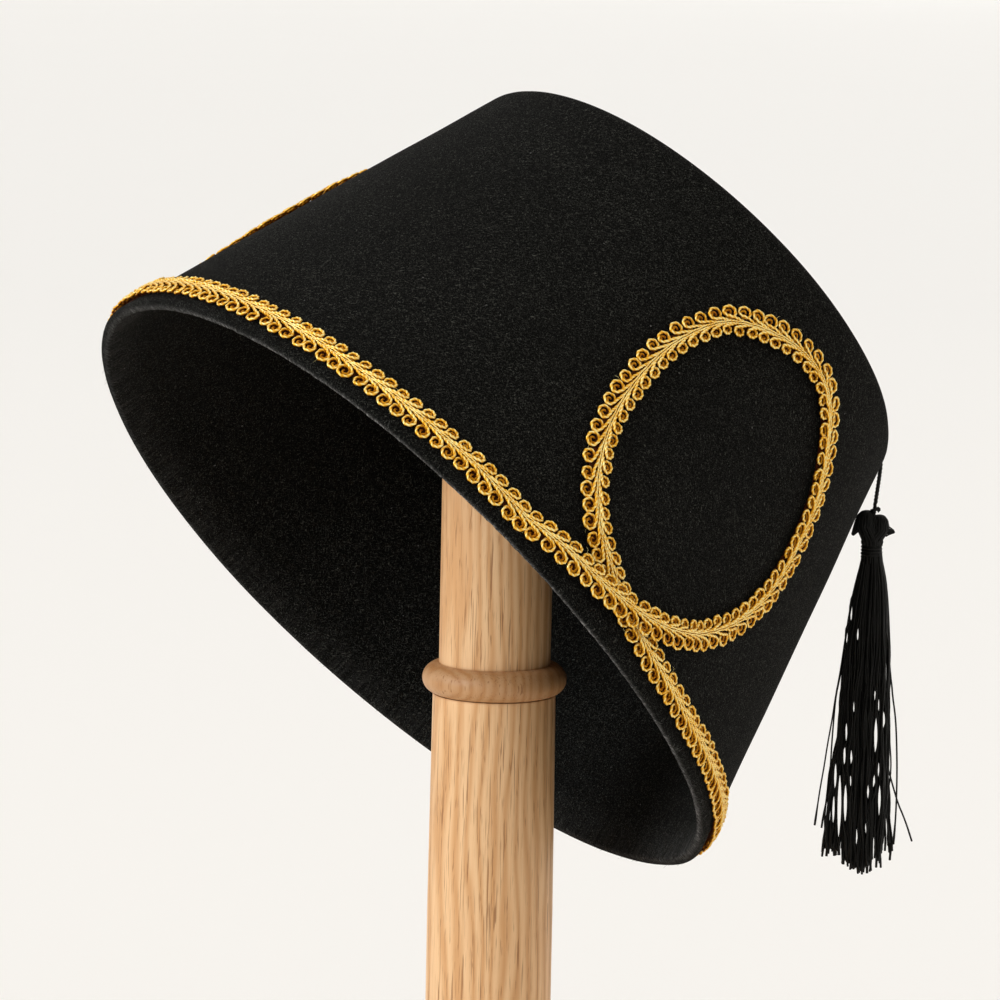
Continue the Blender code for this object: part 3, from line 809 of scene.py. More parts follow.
def oak_finish(stand, lying=False):
    """Pale oak, its grain upright or lying: growth bands, fine fibre and dark pore lines."""
    finish = Finish("Pale oak, lying" if lying else "Pale oak")

    def along(share):
        return finish.millimetres((share, 1.0, 1.0) if lying else (1.0, 1.0, share))

    parts = finish.node("ShaderNodeSeparateXYZ", None, {0: finish.millimetres()}, out="X")
    height = parts.other("Z")
    first = height if lying else parts
    drift = finish.cloud(along(0.16), 11.0, 2.0)
    reach = ((first + 47.0) ** 2.0 + (parts.other("Y") * 0.8 + 31.0) ** 2.0) ** 0.5
    bands = (((reach + drift * 8.0) * 2.6).sine() * 0.5 + 0.5) ** 1.6
    fibre = finish.cloud(along(0.035), 0.45, 4.0, 0.65)
    streak = finish.cloud(along(0.02), 1.6, 3.0, 0.55, 0.4)
    lines = finish.cloud(along(0.025), 0.42, 2.0, 0.5, 0.5).ramp(0.62, 0.68)
    pores = finish.cloud(along(0.05), 0.34, 2.0, 0.5, 0.3).ramp(0.60, 0.70) * (0.35 + bands * 0.65)
    pores = pores.most(lines)
    colour = finish.mix(bands * 0.8, stand.pale_colour, stand.band_colour)
    colour = finish.mix(fibre.ramp(0.3, 0.7) * 0.45, colour, stand.warm_colour)
    colour = finish.mix(streak.ramp(0.52, 0.74) * 0.55, colour, stand.band_colour)
    colour = finish.mix(pores * 0.75, colour, stand.pore_colour)
    if not lying:
        from_ring = height - RING_HEIGHT / MM
        ring = (from_ring * from_ring).ramp(17.0, 13.0)
        colour = finish.mix(ring * 0.55, colour, stand.ring_colour)
    return finish.shade(
        base_color=colour,
        roughness=0.42 + 0.2 * fibre,
        normal=finish.bump(fibre * 0.5 - pores, 0.12 * MM, 0.5),
        specular_ior_level=0.4,
    )


def floor_finish(stage):
    """Plain pale floor, a little darker far away as painted shade."""
    finish = Finish("Pale floor")
    place = finish.millimetres()
    # Painted shade: the floor darkens towards the far side
    far = finish.node("ShaderNodeSeparateXYZ", None, {0: place}, out="Y").ramp(300.0, 3000.0)
    colour = finish.mix(far, stage.floor_colour, stage.far_shade_colour)
    tone = finish.cloud(place, 700.0)
    colour = finish.mix(tone * 0.02, colour, (0.6, 0.6, 0.6))
    return finish.shade(base_color=colour, roughness=0.9, specular_ior_level=0.05)


# The felt cap and its fuzz


def cap_section():
    """Fine section of the felt from the middle of the top, down outside, and back up inside.

    Gives radius, height and how far each point belongs to the cut edge.
    """
    angle = math.degrees(slope())
    flat = CROWN_RADIUS - CROWN_EDGE * math.tan(math.radians(90 - angle) / 2)
    middle = (flat, CAP_HEIGHT - CROWN_EDGE)
    outer_edge = arc(middle, CROWN_EDGE, 90, angle, EDGE_ROWS)
    inner_edge = arc(middle, CROWN_EDGE - FELT, angle, 90, EDGE_ROWS)
    outer_rim = (RIM_RADIUS, CUT_ROUNDING)
    inner_rim = (RIM_RADIUS - FELT / math.cos(slope()), CUT_ROUNDING)
    outside = row_points((0.0, CAP_HEIGHT), outer_edge[0], TOP_ROWS) + outer_edge[:-1]
    outside += row_points(outer_edge[-1], outer_rim, WALL_ROWS)
    cut = []
    for i in range(CUT_ROWS + 1):
        share = i / CUT_ROWS
        edge = abs(2 * share - 1)
        radius = outer_rim[0] + (inner_rim[0] - outer_rim[0]) * share
        grey = math.exp(-(((share - CUT_MIDDLE) / CUT_SPREAD) ** 2))
        cut.append((radius, CUT_ROUNDING * edge ** 4, grey))
    inside = row_points(inner_rim, inner_edge[0], INSIDE_ROWS)[1:] + inner_edge[:-1]
    inside += row_points(inner_edge[-1], (0.0, CAP_HEIGHT - FELT), TOP_ROWS)
    inside.append((0.0, CAP_HEIGHT - FELT))
    plain = [(r, h, 0.0) for r, h in outside]
    return plain + cut + [(r, h, 0.0) for r, h in inside]


def felt_point(radius, height, side, cut=0.0):
    """Place in the cap's frame, with the rim's waves and the felt's small unevenness."""
    rise = rim_rise(side) * (1 - height / CAP_HEIGHT)
    radius = max(0.0, radius - rise * math.tan(slope()))
    place = Vector((radius * math.cos(side), radius * math.sin(side), height + rise))
    swell = noise.noise(place / WALL_UNEVEN_SIZE) * WALL_UNEVEN
    if cut:
        place += noise.noise_vector(place / CUT_ROUGHNESS_SIZE) * CUT_ROUGHNESS * cut
    if radius > 0.0:
        place.xy *= (radius + swell * min(1.0, radius / CROWN_RADIUS)) / radius
    return place


def make_felt(felt):
    """The felt itself, with marks for its cut edge, for the way round, and for the painted light on the
    cut edge, fullest at one side.
    """
    noise.seed_set(CUT_SEED)
    section = cap_section()
    points = []
    marks = []
    for radius, height, cut in section[1:-1]:
        for step in range(CAP_STEPS):
            side = FULL_TURN * step / CAP_STEPS
            # Painted light on the cut edge: fullest at one side of the cap and fading round it
            near = math.exp(-((math.cos(side - LIT_CUT_SIDE) - 1) / LIT_CUT_REACH) ** 2)
            points.append(felt_point(radius, height, side, cut))
            marks.append((cut, side * RIM_RADIUS / MM, LIT_CUT_LEAST + (1 - LIT_CUT_LEAST) * near))
    rows = len(section) - 2
    index = np.arange(rows * CAP_STEPS).reshape(rows, CAP_STEPS)
    faces = faces_between(index[:-1], index[1:], (0, 3, 2, 1))
    top, under = len(points), len(points) + 1
    points += [Vector((0.0, 0.0, section[0][1])), Vector((0.0, 0.0, section[-1][1]))]
    marks += [(0.0, 0.0, 0.0)] * 2
    for step in range(CAP_STEPS):
        after = (step + 1) % CAP_STEPS
        faces.append((top, int(index[0, step]), int(index[0, after])))
        faces.append((under, int(index[-1, after]), int(index[-1, step])))
    marks = dict(zip(("cut", "around", "fray_light"), zip(*marks)))
    finish = felt_finish(felt)
    return cap_piece("felt_shell", np.array(points), faces, finish, marks, "felt", "felt_cap")


def make_fuzz(felt):
    """Loose fibres that stand off the felt, each a closed needle, bent away from its root."""
    luck = np.random.default_rng(FUZZ_SEED)
    count = felt.fuzz_count
    line = np.array(cap_section())
    steps = np.diff(line[:, :2], axis=0)
    spans = np.linalg.norm(steps, axis=1)
    middles = (line[:-1, 0] + line[1:, 0]) / 2
    shown = np.where(line[:-1, 2] + line[1:, 2] > 0, FUZZ_ON_CUT, 1.0)
    inner = np.arange(len(spans)) > len(spans) - (INSIDE_ROWS + EDGE_ROWS + TOP_ROWS) + 2
    weight = spans * middles * shown * np.where(inner, FUZZ_INSIDE, 1.0)
    picked = luck.choice(len(spans), count, p=weight / weight.sum())
    share = luck.random(count)
    sides = luck.random(count) * FULL_TURN
    flow = steps[picked]
    outward = unit(np.stack((-flow[:, 1], flow[:, 0]), axis=1))
    spot = line[picked, :2] + flow * share[:, None]
    roots = np.array([felt_point(r, h, s) for (r, h), s in zip(spot, sides)])
    normal = -(outward[:, :1] * sideways(sides) + outward[:, 1:] * UP)
    along = np.cross(normal, np.cross(luck.normal(size=roots.shape), normal))
    rise = luck.uniform(*FUZZ_RISE, (count, 1))
    way = unit(unit(along) * np.cos(rise) + normal * np.sin(rise))
    lint = luck.random(count) < felt.lint_share
    length = luck.uniform(*FUZZ_LENGTHS, (count, 1)) * felt.fuzz_length
    width = np.where(lint, LINT_WIDER, luck.uniform(*FUZZ_WIDTHS, count))[:, None] * felt.fuzz_width
    across = unit(np.cross(way, normal))
    lift = np.cross(across, way)
    base = roots - normal * FUZZ_SINK
    corners = [base + across * width, base - across * width, base + lift * width * FUZZ_THICK]
    tips = roots + way * length + normal * length * FUZZ_BEND
    points = np.stack((*corners, tips), axis=1).reshape(-1, 3)
    first = np.arange(count)[:, None] * 4
    shape = ((0, 1, 2), (0, 3, 1), (1, 3, 2), (2, 3, 0))
    faces = np.concatenate([first + np.array(face) for face in shape]).tolist()
    pale = np.repeat(lint.astype(float) * LINT_PALE + luck.random(count) * FUZZ_PALE, 4)
    return cap_piece("felt_fuzz", points, faces, fuzz_finish(felt), {"pale": pale}, "felt")


# The gold braid


def loop_route(side, tallness):
    """Rows of angle, height and lift through one braid loop, in radians and metres."""
    rows = []
    for turn, height, lift in LOOP_ROWS:
        raised = BRAID_UP + (height * MM - BRAID_UP) * tallness
        rows.append((math.radians(side + turn), raised, lift))
    return rows


def braid_route():
    """The braid's whole closed route: each loop, and the plain run along the rim to the next."""
    loops = [loop_route(*place) for place in LOOP_PLACES]
    starts = [loop[0][0] for loop in loops]
    route = []
    for loop, end in zip(loops, starts[1:] + [starts[0] + FULL_TURN]):
        start = loop[-1][0]
        count = round((end - start) / RUN_STEP)
        runs = [start + (end - start) * i / count for i in range(1, count)]
        route += loop + [(a, BRAID_UP + rim_rise(a), 0.0) for a in runs]
    first = route[0]
    return route + [(first[0] + FULL_TURN, first[1], first[2])]


class BraidLine:
    """The braid's middle line on the felt, read at any distance along it."""

    def __init__(self):
        route = smooth_route(braid_route())
        angle, height, lift = route[:, 0], route[:, 1], np.clip(route[:, 2], 0.0, 1.0)
        out = sideways(angle)
        normal = out * math.cos(slope()) + UP * math.sin(slope())
        place = out * wall_radius(height)[:, None] + UP * height[:, None]
        place += normal * (BRAID_GAP + BRAID_LIFT * lift)[:, None]
        chain = np.concatenate((place, normal), axis=1)
        self.length = chain_length(place)
        count = round(self.length / BRAID_GRID)
        chain = evened(chain, count + 1)
        self.grid = np.linspace(0.0, self.length, count + 1)
        ahead = np.roll(chain[:-1, :3], -1, axis=0) - np.roll(chain[:-1, :3], 1, axis=0)
        across = unit(np.cross(ahead, chain[:-1, 3:]))
        normal = unit(np.cross(across, ahead))
        table = np.concatenate((chain[:-1, :3], across, normal), axis=1)
        self.table = np.concatenate((table, table[:1]))

    def read(self, distances):
        """Places, directions across and directions out, at distances along the braid."""
        wrapped = np.mod(distances, self.length)
        columns = [np.interp(wrapped, self.grid, column) for column in self.table.T]
        read = np.stack(columns, axis=-1)
        return read[..., :3], unit(read[..., 3:6]), unit(read[..., 6:])

    def placed(self, along, across, up):
        place, side, out = self.read(along)
        return place + side * across[..., None] + out * up[..., None]

    def stations(self, count, start=0.0):
        """Distances along the braid, evenly apart, the first at a share of one step."""
        return (np.arange(count) + start) * self.length / count

    def sway(self, along, pitch):
        """Angle that turns once for each picot."""
        return FULL_TURN * round(self.length / pitch) * along / self.length


def facing(points, paths, way):
    """How far each point of the yarns along paths faces a way, from -1 to 1."""
    reach = unit(points.reshape(*paths.shape[:2], -1, 3) - paths[:, :, None])
    return (reach * way).sum(axis=-1)


def outward_light(points, paths, out):
    """Painted light on each point of the yarns along paths, from 0 to 1, fullest where it faces outward.
    """
    base, gain = OUTWARD_LIGHT
    return np.clip(base + gain * facing(points, paths, out), 0.0, 1.0)


def on_ridges(lit, lit_ridge):
    """Painted light that is full on the plies' ridges and dimmer between them, as painted shade."""
    base, gain = RIDGE_LIGHT
    return lit * (base + gain * lit_ridge.reshape(lit.shape))


def make_picots(line, braid, finish, name, side, long, wide, seed, start):
    """One side's row of picots, each a two-ply yarn, no two quite alike."""
    luck = np.random.default_rng(seed)
    count = round(line.length / braid.pitch)
    middles = line.stations(count, start)
    steps = np.arange(PICOT_POINTS)
    shape = evened(smooth_route(PICOT_ROWS), PICOT_POINTS) * MM
    free = np.clip(steps / PICOT_FREE - PICOT_SEWN, 0.0, 1.0)[None, :]
    varied = [luck.normal(0.0, size, (count, 1)) for size in PICOT_VARIES]
    grow, tilt, swing, ahead, aside, lift, swell = varied
    grown = 1 + (braid.ring / RING_WIDTH - 1 + grow) * free
    tilt = tilt * free
    swing = swing * free
    along, across, up = (shape[None, :, i] for i in range(3))
    across = across - RING_MIDDLE
    turned_along = along * np.cos(swing) - across * np.sin(swing)
    turned_across = along * np.sin(swing) + across * np.cos(swing)
    along = turned_along * grown + ahead * MM * free
    across = turned_across * grown + RING_MIDDLE + aside * MM * free
    up = np.maximum(up + tilt * along + np.abs(lift) * MM * free, LOWEST_YARN)
    paths = line.placed(middles[:, None] + along * long, SPINE_SHIFT + side * across * wide, up)
    thick = braid.yarn / 2 * (1 + swell)
    ends = np.minimum(1.0, PICOT_ENDS[0] + PICOT_ENDS[1] * np.minimum(steps, steps[::-1]))
    radii = thick * ends[None, :] * PICOT_YARN
    points, faces, lit_ridge = spun(paths, radii, hollow=0.7, offsets=luck.integers(0, 3, count))
    # Painted shade on the inner coil, and painted light where the yarn faces outward and away from the
    # ring's middle, kept in the mark the finish reads
    coiled = np.clip((steps / PICOT_POINTS - COIL_START) / COIL_OVER, 0.0, 1.0)
    shade = 1 - (1 - COIL_SHADE) * coiled
    _, _, out = line.read(middles)
    lit = outward_light(points, paths, out[:, None, None]) * shade[None, :, None]
    across = np.full(count, SPINE_SHIFT + side * RING_MIDDLE * wide)
    centres = line.placed(middles, across, np.full(count, RING_UP))
    away = unit(paths - centres[:, None])
    base, gain = RING_LIGHT
    lit *= base + gain * facing(points, paths, away[:, :, None])
    marks = {"lit_ridge": on_ridges(lit, lit_ridge)}
    return cap_piece(name, points, faces, finish, marks, "gold_braid", "gold_braid")


def make_spine(line, braid, finish):
    """The two strands that run along the middle of the braid."""
    rows = round(line.length / SPINE_STEP / YARN_SIDES) * YARN_SIDES
    along = line.stations(rows)
    paths, frames = [], []
    for side in (-1.0, 1.0):
        wave = line.sway(along, braid.pitch) + side
        across = side * (SPINE_ASIDE[0] + SPINE_ASIDE[1] * np.sin(wave)) * MM
        up = (SPINE_UP[0] + SPINE_UP[1] * np.sin(wave + SPINE_LAG)) * MM
        paths.append(line.placed(along, SPINE_SHIFT + across, up))
        frames.append(line.read(along)[1:])
    first, second = (np.stack(ways) for ways in zip(*frames))
    radius = braid.yarn / 2 * SPINE_YARN
    paths = np.stack(paths)
    points, faces, lit_ridge = spun(paths, radius, hollow=0.82, frames=(first, second), closed=True)
    # Painted light: brighter on the plies' ridges and where the strands face outward
    marks = {"lit_ridge": on_ridges(outward_light(points, paths, second[:, :, None]), lit_ridge)}
    return cap_piece("braid_spine", points, faces, finish, marks, "gold_braid", "gold_braid")


def make_wisps(line, braid, finish):
    """Fine loose hairs of the gold yarn that stand off the braid."""
    luck = np.random.default_rng(WISP_SEED)
    count = braid.wisps
    steps = np.arange(WISP_POINTS) / (WISP_POINTS - 1)

    def between(least, most):
        return luck.uniform(least, most, (count, 1))

    start = between(0.0, line.length)
    side = luck.choice((-1.0, 1.0), (count, 1))
    root = side * between(*WISP_ROOT) * MM
    length = between(*WISP_LENGTH) * MM
    way = between(-WISP_TURN, WISP_TURN)
    turn = way + luck.normal(0.0, WISP_BEND, (count, 1)) * steps
    along = start + length * steps * np.sin(turn)
    across = root + side * length * steps * np.cos(turn)
    up = (WISP_UP + between(*WISP_RISE) * np.sin(steps * WISP_ARCH)) * MM
    paths = line.placed(along, across, np.maximum(up, WISP_LOWEST))
    thick = between(*WISP_THICK) * MM * np.linspace(*WISP_TAPER, WISP_POINTS)
    points, faces, lit_ridge = spun(paths, thick, sides=3, plies=1)
    return cap_piece("braid_wisps", points, faces, finish, {"lit_ridge": lit_ridge}, "gold_braid")


def make_core(line, braid):
    """The low band of core threads that the picots are sewn to."""
    section = np.array(CORE_HALF + tuple((-x, z) for x, z in reversed(CORE_HALF)))
    rows = round(line.length / CORE_STEP)
    along = line.stations(rows)
    wave = 1 + CORE_SWELL * np.sin(line.sway(along, braid.pitch))
    across = CORE_SHIFT + section[None, :, 0] * MM * wave[:, None]
    up = np.broadcast_to(section[None, :, 1] * MM, across.shape)
    points = line.placed(np.broadcast_to(along[:, None], across.shape), across, up).reshape(-1, 3)
    index = np.arange(len(points)).reshape(rows, -1)
    faces = faces_between(index, np.roll(index, -1, axis=0), (0, 1, 2, 3))
    finish = core_finish(braid)
    return cap_piece("braid_core", points, faces, finish, None, "gold_braid", "gold_braid")


# The cord and the tassel


def make_cord(tassel, finish):
    """The twisted three-ply cord, on the route of the part's own solid."""
    route = smooth_route(CORD_ROUTE_MM) * MM
    rows = round(chain_length(route) / CORD_STEP)
    path = evened(route, rows + 1)
    radius = tassel.cord / 2
    points, faces, lit_ridge = spun(path[None], radius, sides=9, plies=3, hollow=0.78)
    # Painted light on the plies' ridges and painted shade between them, kept in the tone mark
    tone = CORD_RIDGE_LIGHT[0] + CORD_RIDGE_LIGHT[1] * lit_ridge
    obj = mesh_piece("cord", points, faces, finish, marks={"tone": tone})
    return dress(obj, "tassel", "tassel_cord"), path


def head_threads(luck):
    """Threads that run from the knot over a lobe and down into the neck."""
    paths = []
    for x, z, half_width, half_height in LOBE_ROWS:
        for i in range(LOBE_THREADS):
            side = FULL_TURN * (i + luck.uniform(-LOBE_JITTER, LOBE_JITTER)) / LOBE_THREADS
            out = np.array((math.cos(side), math.sin(side)))
            share, near = LOBE_START
            rows = [(share * x + near * out[0], near * out[1], z + LOBE_FILL * half_height)]
            for turn in LOBE_TURNS:
                reach = half_width * math.sin(math.radians(turn)) * luck.uniform(*LOBE_UNEVEN)
                high = z + half_height * math.cos(math.radians(turn))
                rows.append((x + reach * out[0], reach * out[1], high))
            neck = NECK_RADIUS + NECK_LOOSE * luck.random()
            for reach, drop in NECK_ROWS:
                rows.append((NECK_MIDDLE + neck * reach * out[0], neck * reach * out[1], -drop))
            paths.append(evened(smooth_route(rows, HEAD_FINE) * MM, LOBE_POINTS))
    return paths


def ear_threads(luck):
    """Short blunt tufts that stand out of the head on both sides."""
    paths = []
    for root_x, root_z, tip_x, tip_z, threads, spread in EAR_ROWS:
        for _ in range(threads):
            shift = luck.normal(0.0, spread, 3)
            start = np.array((root_x, 0.0, root_z)) + shift
            end = np.array((tip_x, 0.0, tip_z)) + shift * EAR_GATHER
            middle = (start + end) / 2 + EAR_ARCH * UP
            paths.append(evened(smooth_route((start, middle, end), HEAD_FINE) * MM, EAR_POINTS))
    return paths


def binding_points():
    """The thread wound round the neck under the lobes."""
    angles = np.linspace(0.0, FULL_TURN * BINDING_TURNS, BINDING_POINTS)
    height = -BINDING_DROP - BINDING_HEIGHT * angles / angles[-1]
    reach = BINDING_REACH + BINDING_UNEVEN * np.sin(angles * BINDING_BEATS)
    across = NECK_MIDDLE + reach * np.cos(angles)
    return np.stack((across, reach * np.sin(angles), height), axis=1) * MM


def joined(groups):
    """Several sets of points and faces as one."""
    points, faces, marks = [], [], []
    total = 0
    for some, corners, lit_ridge in groups:
        faces += [[corner + total for corner in face] for face in corners]
        points.append(some)
        marks.append(lit_ridge)
        total += len(some)
    return np.concatenate(points), faces, np.concatenate(marks)


def ball(centre, sizes, rings=10, steps=16):
    """A round closed core, as points, faces and marks."""
    points = [centre + sizes * UP]
    for ring in range(1, rings):
        turn = math.pi * ring / rings
        for step in range(steps):
            side = FULL_TURN * step / steps
            spot = (math.sin(turn) * math.cos(side), math.sin(turn) * math.sin(side), math.cos(turn))
            points.append(centre + sizes * np.array(spot))
    points.append(centre - sizes * UP)
    faces = []
    last = len(points) - 1
    for step in range(steps):
        after = (step + 1) % steps
        faces.append([0, 1 + step, 1 + after])
        for ring in range(rings - 2):
            low = 1 + ring * steps
            faces.append([low + step, low + steps + step, low + steps + after, low + after])
        low = last - steps
        faces.append([low + step, last, low + after])
    return np.array(points), faces, np.zeros(len(points))


def strands(paths, radii, luck):
    """Plain threads along paths, each with its own tone."""
    points, faces, _ = spun(paths, radii, sides=5, plies=1)
    return points, faces, np.repeat(luck.random(len(paths)), len(points) // len(paths))


def make_head(tassel, finish):
    """Knot, gathered lobes, ears and binding of the tassel."""
    luck = np.random.default_rng(HEAD_SEED)
    thread = tassel.thread / 2
    groups = []
    for x, z, half_width, half_height in LOBE_ROWS:
        sizes = np.array((half_width, half_width, half_height)) * LOBE_FILL * MM
        groups.append(ball(np.array((x, 0.0, z)) * MM, sizes))
    groups.append(ball(np.array(NECK_CENTRE) * MM, np.array(NECK_SIZES) * MM))
    groups.append(strands(np.stack(head_threads(luck)), thread * LOBE_THREAD, luck))
    taper = np.linspace(*EAR_TAPER, EAR_POINTS)
    groups.append(strands(np.stack(ear_threads(luck)), thread * taper, luck))
    groups.append(spun(binding_points()[None], BINDING_THREAD / 2, hollow=0.8))
    for rows in KNOT_ROUTES:
        route = evened(smooth_route(rows) * MM, KNOT_POINTS)
        groups.append(spun(route[None], tassel.cord / 2 * KNOT_CORD, sides=9, plies=3, hollow=0.8))
    points, faces, marks = joined(groups)
    place = Matrix.Translation(KNOT)
    # The tone mark holds each thread's own tone, and on the knot and binding painted light on the plies'
    # ridges
    obj = mesh_piece("tassel_head", points, faces, finish, place, {"tone": marks * HEAD_TONE_AND_RIDGE_LIGHT})
    return dress(obj, "tassel", "tassel")


def thread_route(bundle, luck):
    """One thread of a bundle, from inside the binding down to its cut tip, in millimetres."""
    middle, low, tip, depth, reach, _, spread = bundle
    own = luck.normal(0.0, 1.0, 4) * spread
    rows = np.array(SKIRT_ROWS)
    widest = rows[-1, 1]
    offset = np.array((middle + own[0] - rows[-1, 2], depth + own[1])) / widest
    offset /= max(1.0, np.linalg.norm(offset))
    length = reach + luck.normal(0.0, LENGTH_SPREAD)
    route = [(x + offset[0] * half, offset[1] * half, -drop) for drop, half, x in rows]
    bend = route[-1][0] + BEND_SHARE * (low + own[0] - route[-1][0])
    route.append((bend, route[-1][1], -BEND_DROP))
    route.append((low + own[0], depth * LOW_DEEPER + own[1], -LOW_DROP))
    across = tip + TIP_KEEPS * own[0] + TIP_TAKES * own[2]
    route.append((across, depth * TIP_DEEPER + own[3], -length))
    return evened(smooth_route(route, SKIRT_FINE), SKIRT_POINTS)


def curtain_rows():
    """Rows of single threads, spread evenly between the bundles and hanging as they do."""
    front = np.array([row for row in BUNDLE_ROWS if row[3] < FRONT_DEPTH])
    rows = []
    for i, place in enumerate(np.linspace(*CURTAIN_EDGES, CURTAIN_THREADS)):
        low, tip, reach = (np.interp(place, front[:, 0], front[:, column]) for column in (1, 2, 4))
        depth = CURTAIN_DEPTH * math.cos(math.pi * i)
        rows.append((place, low, tip, depth, reach - CURTAIN_SHORTER, 1, CURTAIN_SPREAD))
    return rows


def waved(paths, luck):
    """Gives threads their own slight waves, more of them the freer they hang."""
    drop = -paths[..., 2]
    free = np.clip((drop - FREE_FROM) / FREE_OVER, 0.0, 1.0)
    for axis in (0, 1):
        for beat, size in THREAD_WAVES:
            beats = beat * luck.uniform(*WAVE_VARIES, (len(paths), 1))
            start = luck.uniform(0.0, FULL_TURN, (len(paths), 1))
            paths[..., axis] += free * size * np.sin(drop / beats * FULL_TURN + start)
    return paths


def parted(paths, thread):
    """Opens the slits between the threads, each thread keeping to its own side of a slit."""
    drop = -paths[..., 2]
    aside = paths[..., 0] - SLIT_SLANT * paths[..., 1]
    for across, opens, closes, width in SLIT_ROWS:
        near = np.abs(drop - (opens + closes) / 2).argmin(axis=1)
        at_slit = aside[np.arange(len(paths)), near]
        side = np.where(at_slit > across, 1.0, -1.0)[:, None]
        share = np.clip((drop - opens + SLIT_LONGER) / (closes - opens + 2 * SLIT_LONGER), 0.0, 1.0)
        room = (width * SLIT_OPEN / 2 + thread / 2) * np.sin(math.pi * share) ** SLIT_BLUNT
        pushed = across + side * np.maximum(side * (aside - across), room)
        aside = np.where((share > 0.0) & (share < 1.0), pushed, aside)
    paths[..., 0] = aside + SLIT_SLANT * paths[..., 1]
    return paths


def skirt_paths(tassel, luck):
    """Paths of the skirt's threads, bundled, waved, and parted by slits."""
    bundled = [thread_route(row, luck) for row in BUNDLE_ROWS for _ in range(row[5])]
    bundled += [thread_route(row, luck) for row in curtain_rows()]
    hung = parted(waved(np.stack(bundled), luck), tassel.thread / MM)
    strays = []
    for route in STRAY_ROUTES:
        aside = math.copysign(STRAY_ROOT[0], route[0][0])
        rows = [(NECK_MIDDLE + aside, *STRAY_ROOT[1:])] + [(x, y, -down) for x, y, down in route]
        strays.append(evened(smooth_route(rows, SKIRT_FINE), SKIRT_POINTS))
    paths = np.concatenate((hung, np.stack(strays)))
    paths[..., 0] -= HANG_ASIDE * paths[..., 2]
    paths[..., 2] *= HANG_LONGER
    return paths * MM


def make_skirt(tassel, finish):
    """The skirt's threads, each a little thicker at its cut tip."""
    luck = np.random.default_rng(SKIRT_SEED)
    paths = skirt_paths(tassel, luck)
    thick = tassel.thread / 2 * luck.uniform(*THREAD_WIDTHS, (len(paths), 1))
    radii = np.repeat(thick, SKIRT_POINTS, axis=1)
    radii[:, -3:] *= 1 + luck.uniform(0.0, TIP_SWELL_MOST, (len(paths), 1)) * np.array(TIP_SWELL)
    points, faces, tone = strands(paths, radii, luck)
    place = Matrix.Translation(KNOT)
    obj = mesh_piece("tassel_skirt", points, faces, finish, place, {"tone": tone})
    return dress(obj, "tassel", "tassel")


# The turned stand


def head_profile():
    """Domed head with a socket in its underside."""
    dome = arc((0.0, HEAD_CENTRE), HEAD_RADIUS, 90, 0, 40)
    lip = (HEAD_RADIUS - HEAD_ROUND, HEAD_CENTRE + HEAD_ROUND - HEAD_UNDER)
    under = arc(lip, HEAD_ROUND, 0, -90, 8)
    bore = TENON_RADIUS + GAP
    mouth = HEAD_CENTRE - HEAD_UNDER
    depth = mouth + TENON_LENGTH + 2 * GAP
    socket = [(bore, mouth), (bore, depth), (0.0, depth)]
    return [(0.0, HEAD_CENTRE + HEAD_RADIUS)] + dome[1:] + under + socket


def post_profile():
    """Post with its ring bead and a tenon at each end."""
    top = HEAD_CENTRE - HEAD_UNDER - GAP
    bottom = BASE_THICK + GAP
    thick = RING_RADIUS - POST_UPPER
    flare = POST_FOOT - POST_WAIST
    profile = [(0.0, top + TENON_LENGTH), (TENON_RADIUS, top + TENON_LENGTH), (TENON_RADIUS, top)]
    profile += row_points((POST_UPPER, top), (POST_UPPER, RING_HEIGHT + RING_HALF), 12)
    bead = arc((0.0, 0.0), 1.0, 90, -90, 26)[1:-1]
    profile += [(POST_UPPER, RING_HEIGHT + RING_HALF)]
    profile += [(POST_UPPER + thick * x, RING_HEIGHT + RING_HALF * z) for x, z in bead]
    profile += row_points((POST_LOWER, RING_HEIGHT - RING_HALF), (POST_WAIST, POST_WAIST_HEIGHT), 8)
    hollow = arc((0.0, 0.0), 1.0, 0, -90, 14)
    profile += [(POST_WAIST, POST_WAIST_HEIGHT)]
    profile += [(POST_FOOT - flare * x, bottom + flare * 2 * (1 + z)) for x, z in hollow]
    profile += [(TENON_RADIUS, bottom), (TENON_RADIUS, bottom - TENON_LENGTH)]
    return profile + [(0.0, bottom - TENON_LENGTH)]


def base_profile():
    """Round foot with a rounded upper edge and a socket for the post."""
    bore = TENON_RADIUS + GAP
    floor = BASE_THICK - TENON_LENGTH - GAP
    edge = arc((BASE_RADIUS - BASE_ROUND, BASE_THICK - BASE_ROUND), BASE_ROUND, 90, 0, 14)
    profile = [(0.0, floor), (bore, floor)]
    profile += row_points((bore, BASE_THICK), edge[0], 6) + edge
    return profile + [(BASE_RADIUS, BASE_CHAMFER), (BASE_RADIUS - BASE_CHAMFER, 0.0), (0.0, 0.0)]


# The light around


def studio_world(stage):
    """Light from all round: cooler from the left, dimmer and warmer from the right, and overhead."""
    sky = Finish("Studio", bpy.data.worlds)
    around = sky.node("ShaderNodeTexCoord", out="Generated")
    parts = sky.node("ShaderNodeSeparateXYZ", None, {0: around}, out="X")
    strengths = ((stage.left, LEFT_TINT), (stage.right, RIGHT_TINT), (stage.overhead, OVERHEAD_TINT))
    left, right, overhead = ([strength * share for share in tint] for strength, tint in strengths)
    level = sky.mix(parts.ramp(-0.7, 0.8), left, right)
    colour = sky.mix(parts.other("Z").ramp(0.1, 0.95), level, overhead)
    light = sky.node("ShaderNodeBackground", None, {"Color": colour})
    sky.node("ShaderNodeOutputWorld", None, {"Surface": light})
    return sky.kept


# Settings that a user can change


def setting(kind, name, description, value, **limits):
    return kind(name=name, description=description, default=value, **limits)


def size_setting(*words):
    return setting(FloatProperty, *words, unit="LENGTH", min=0.0, precision=5)


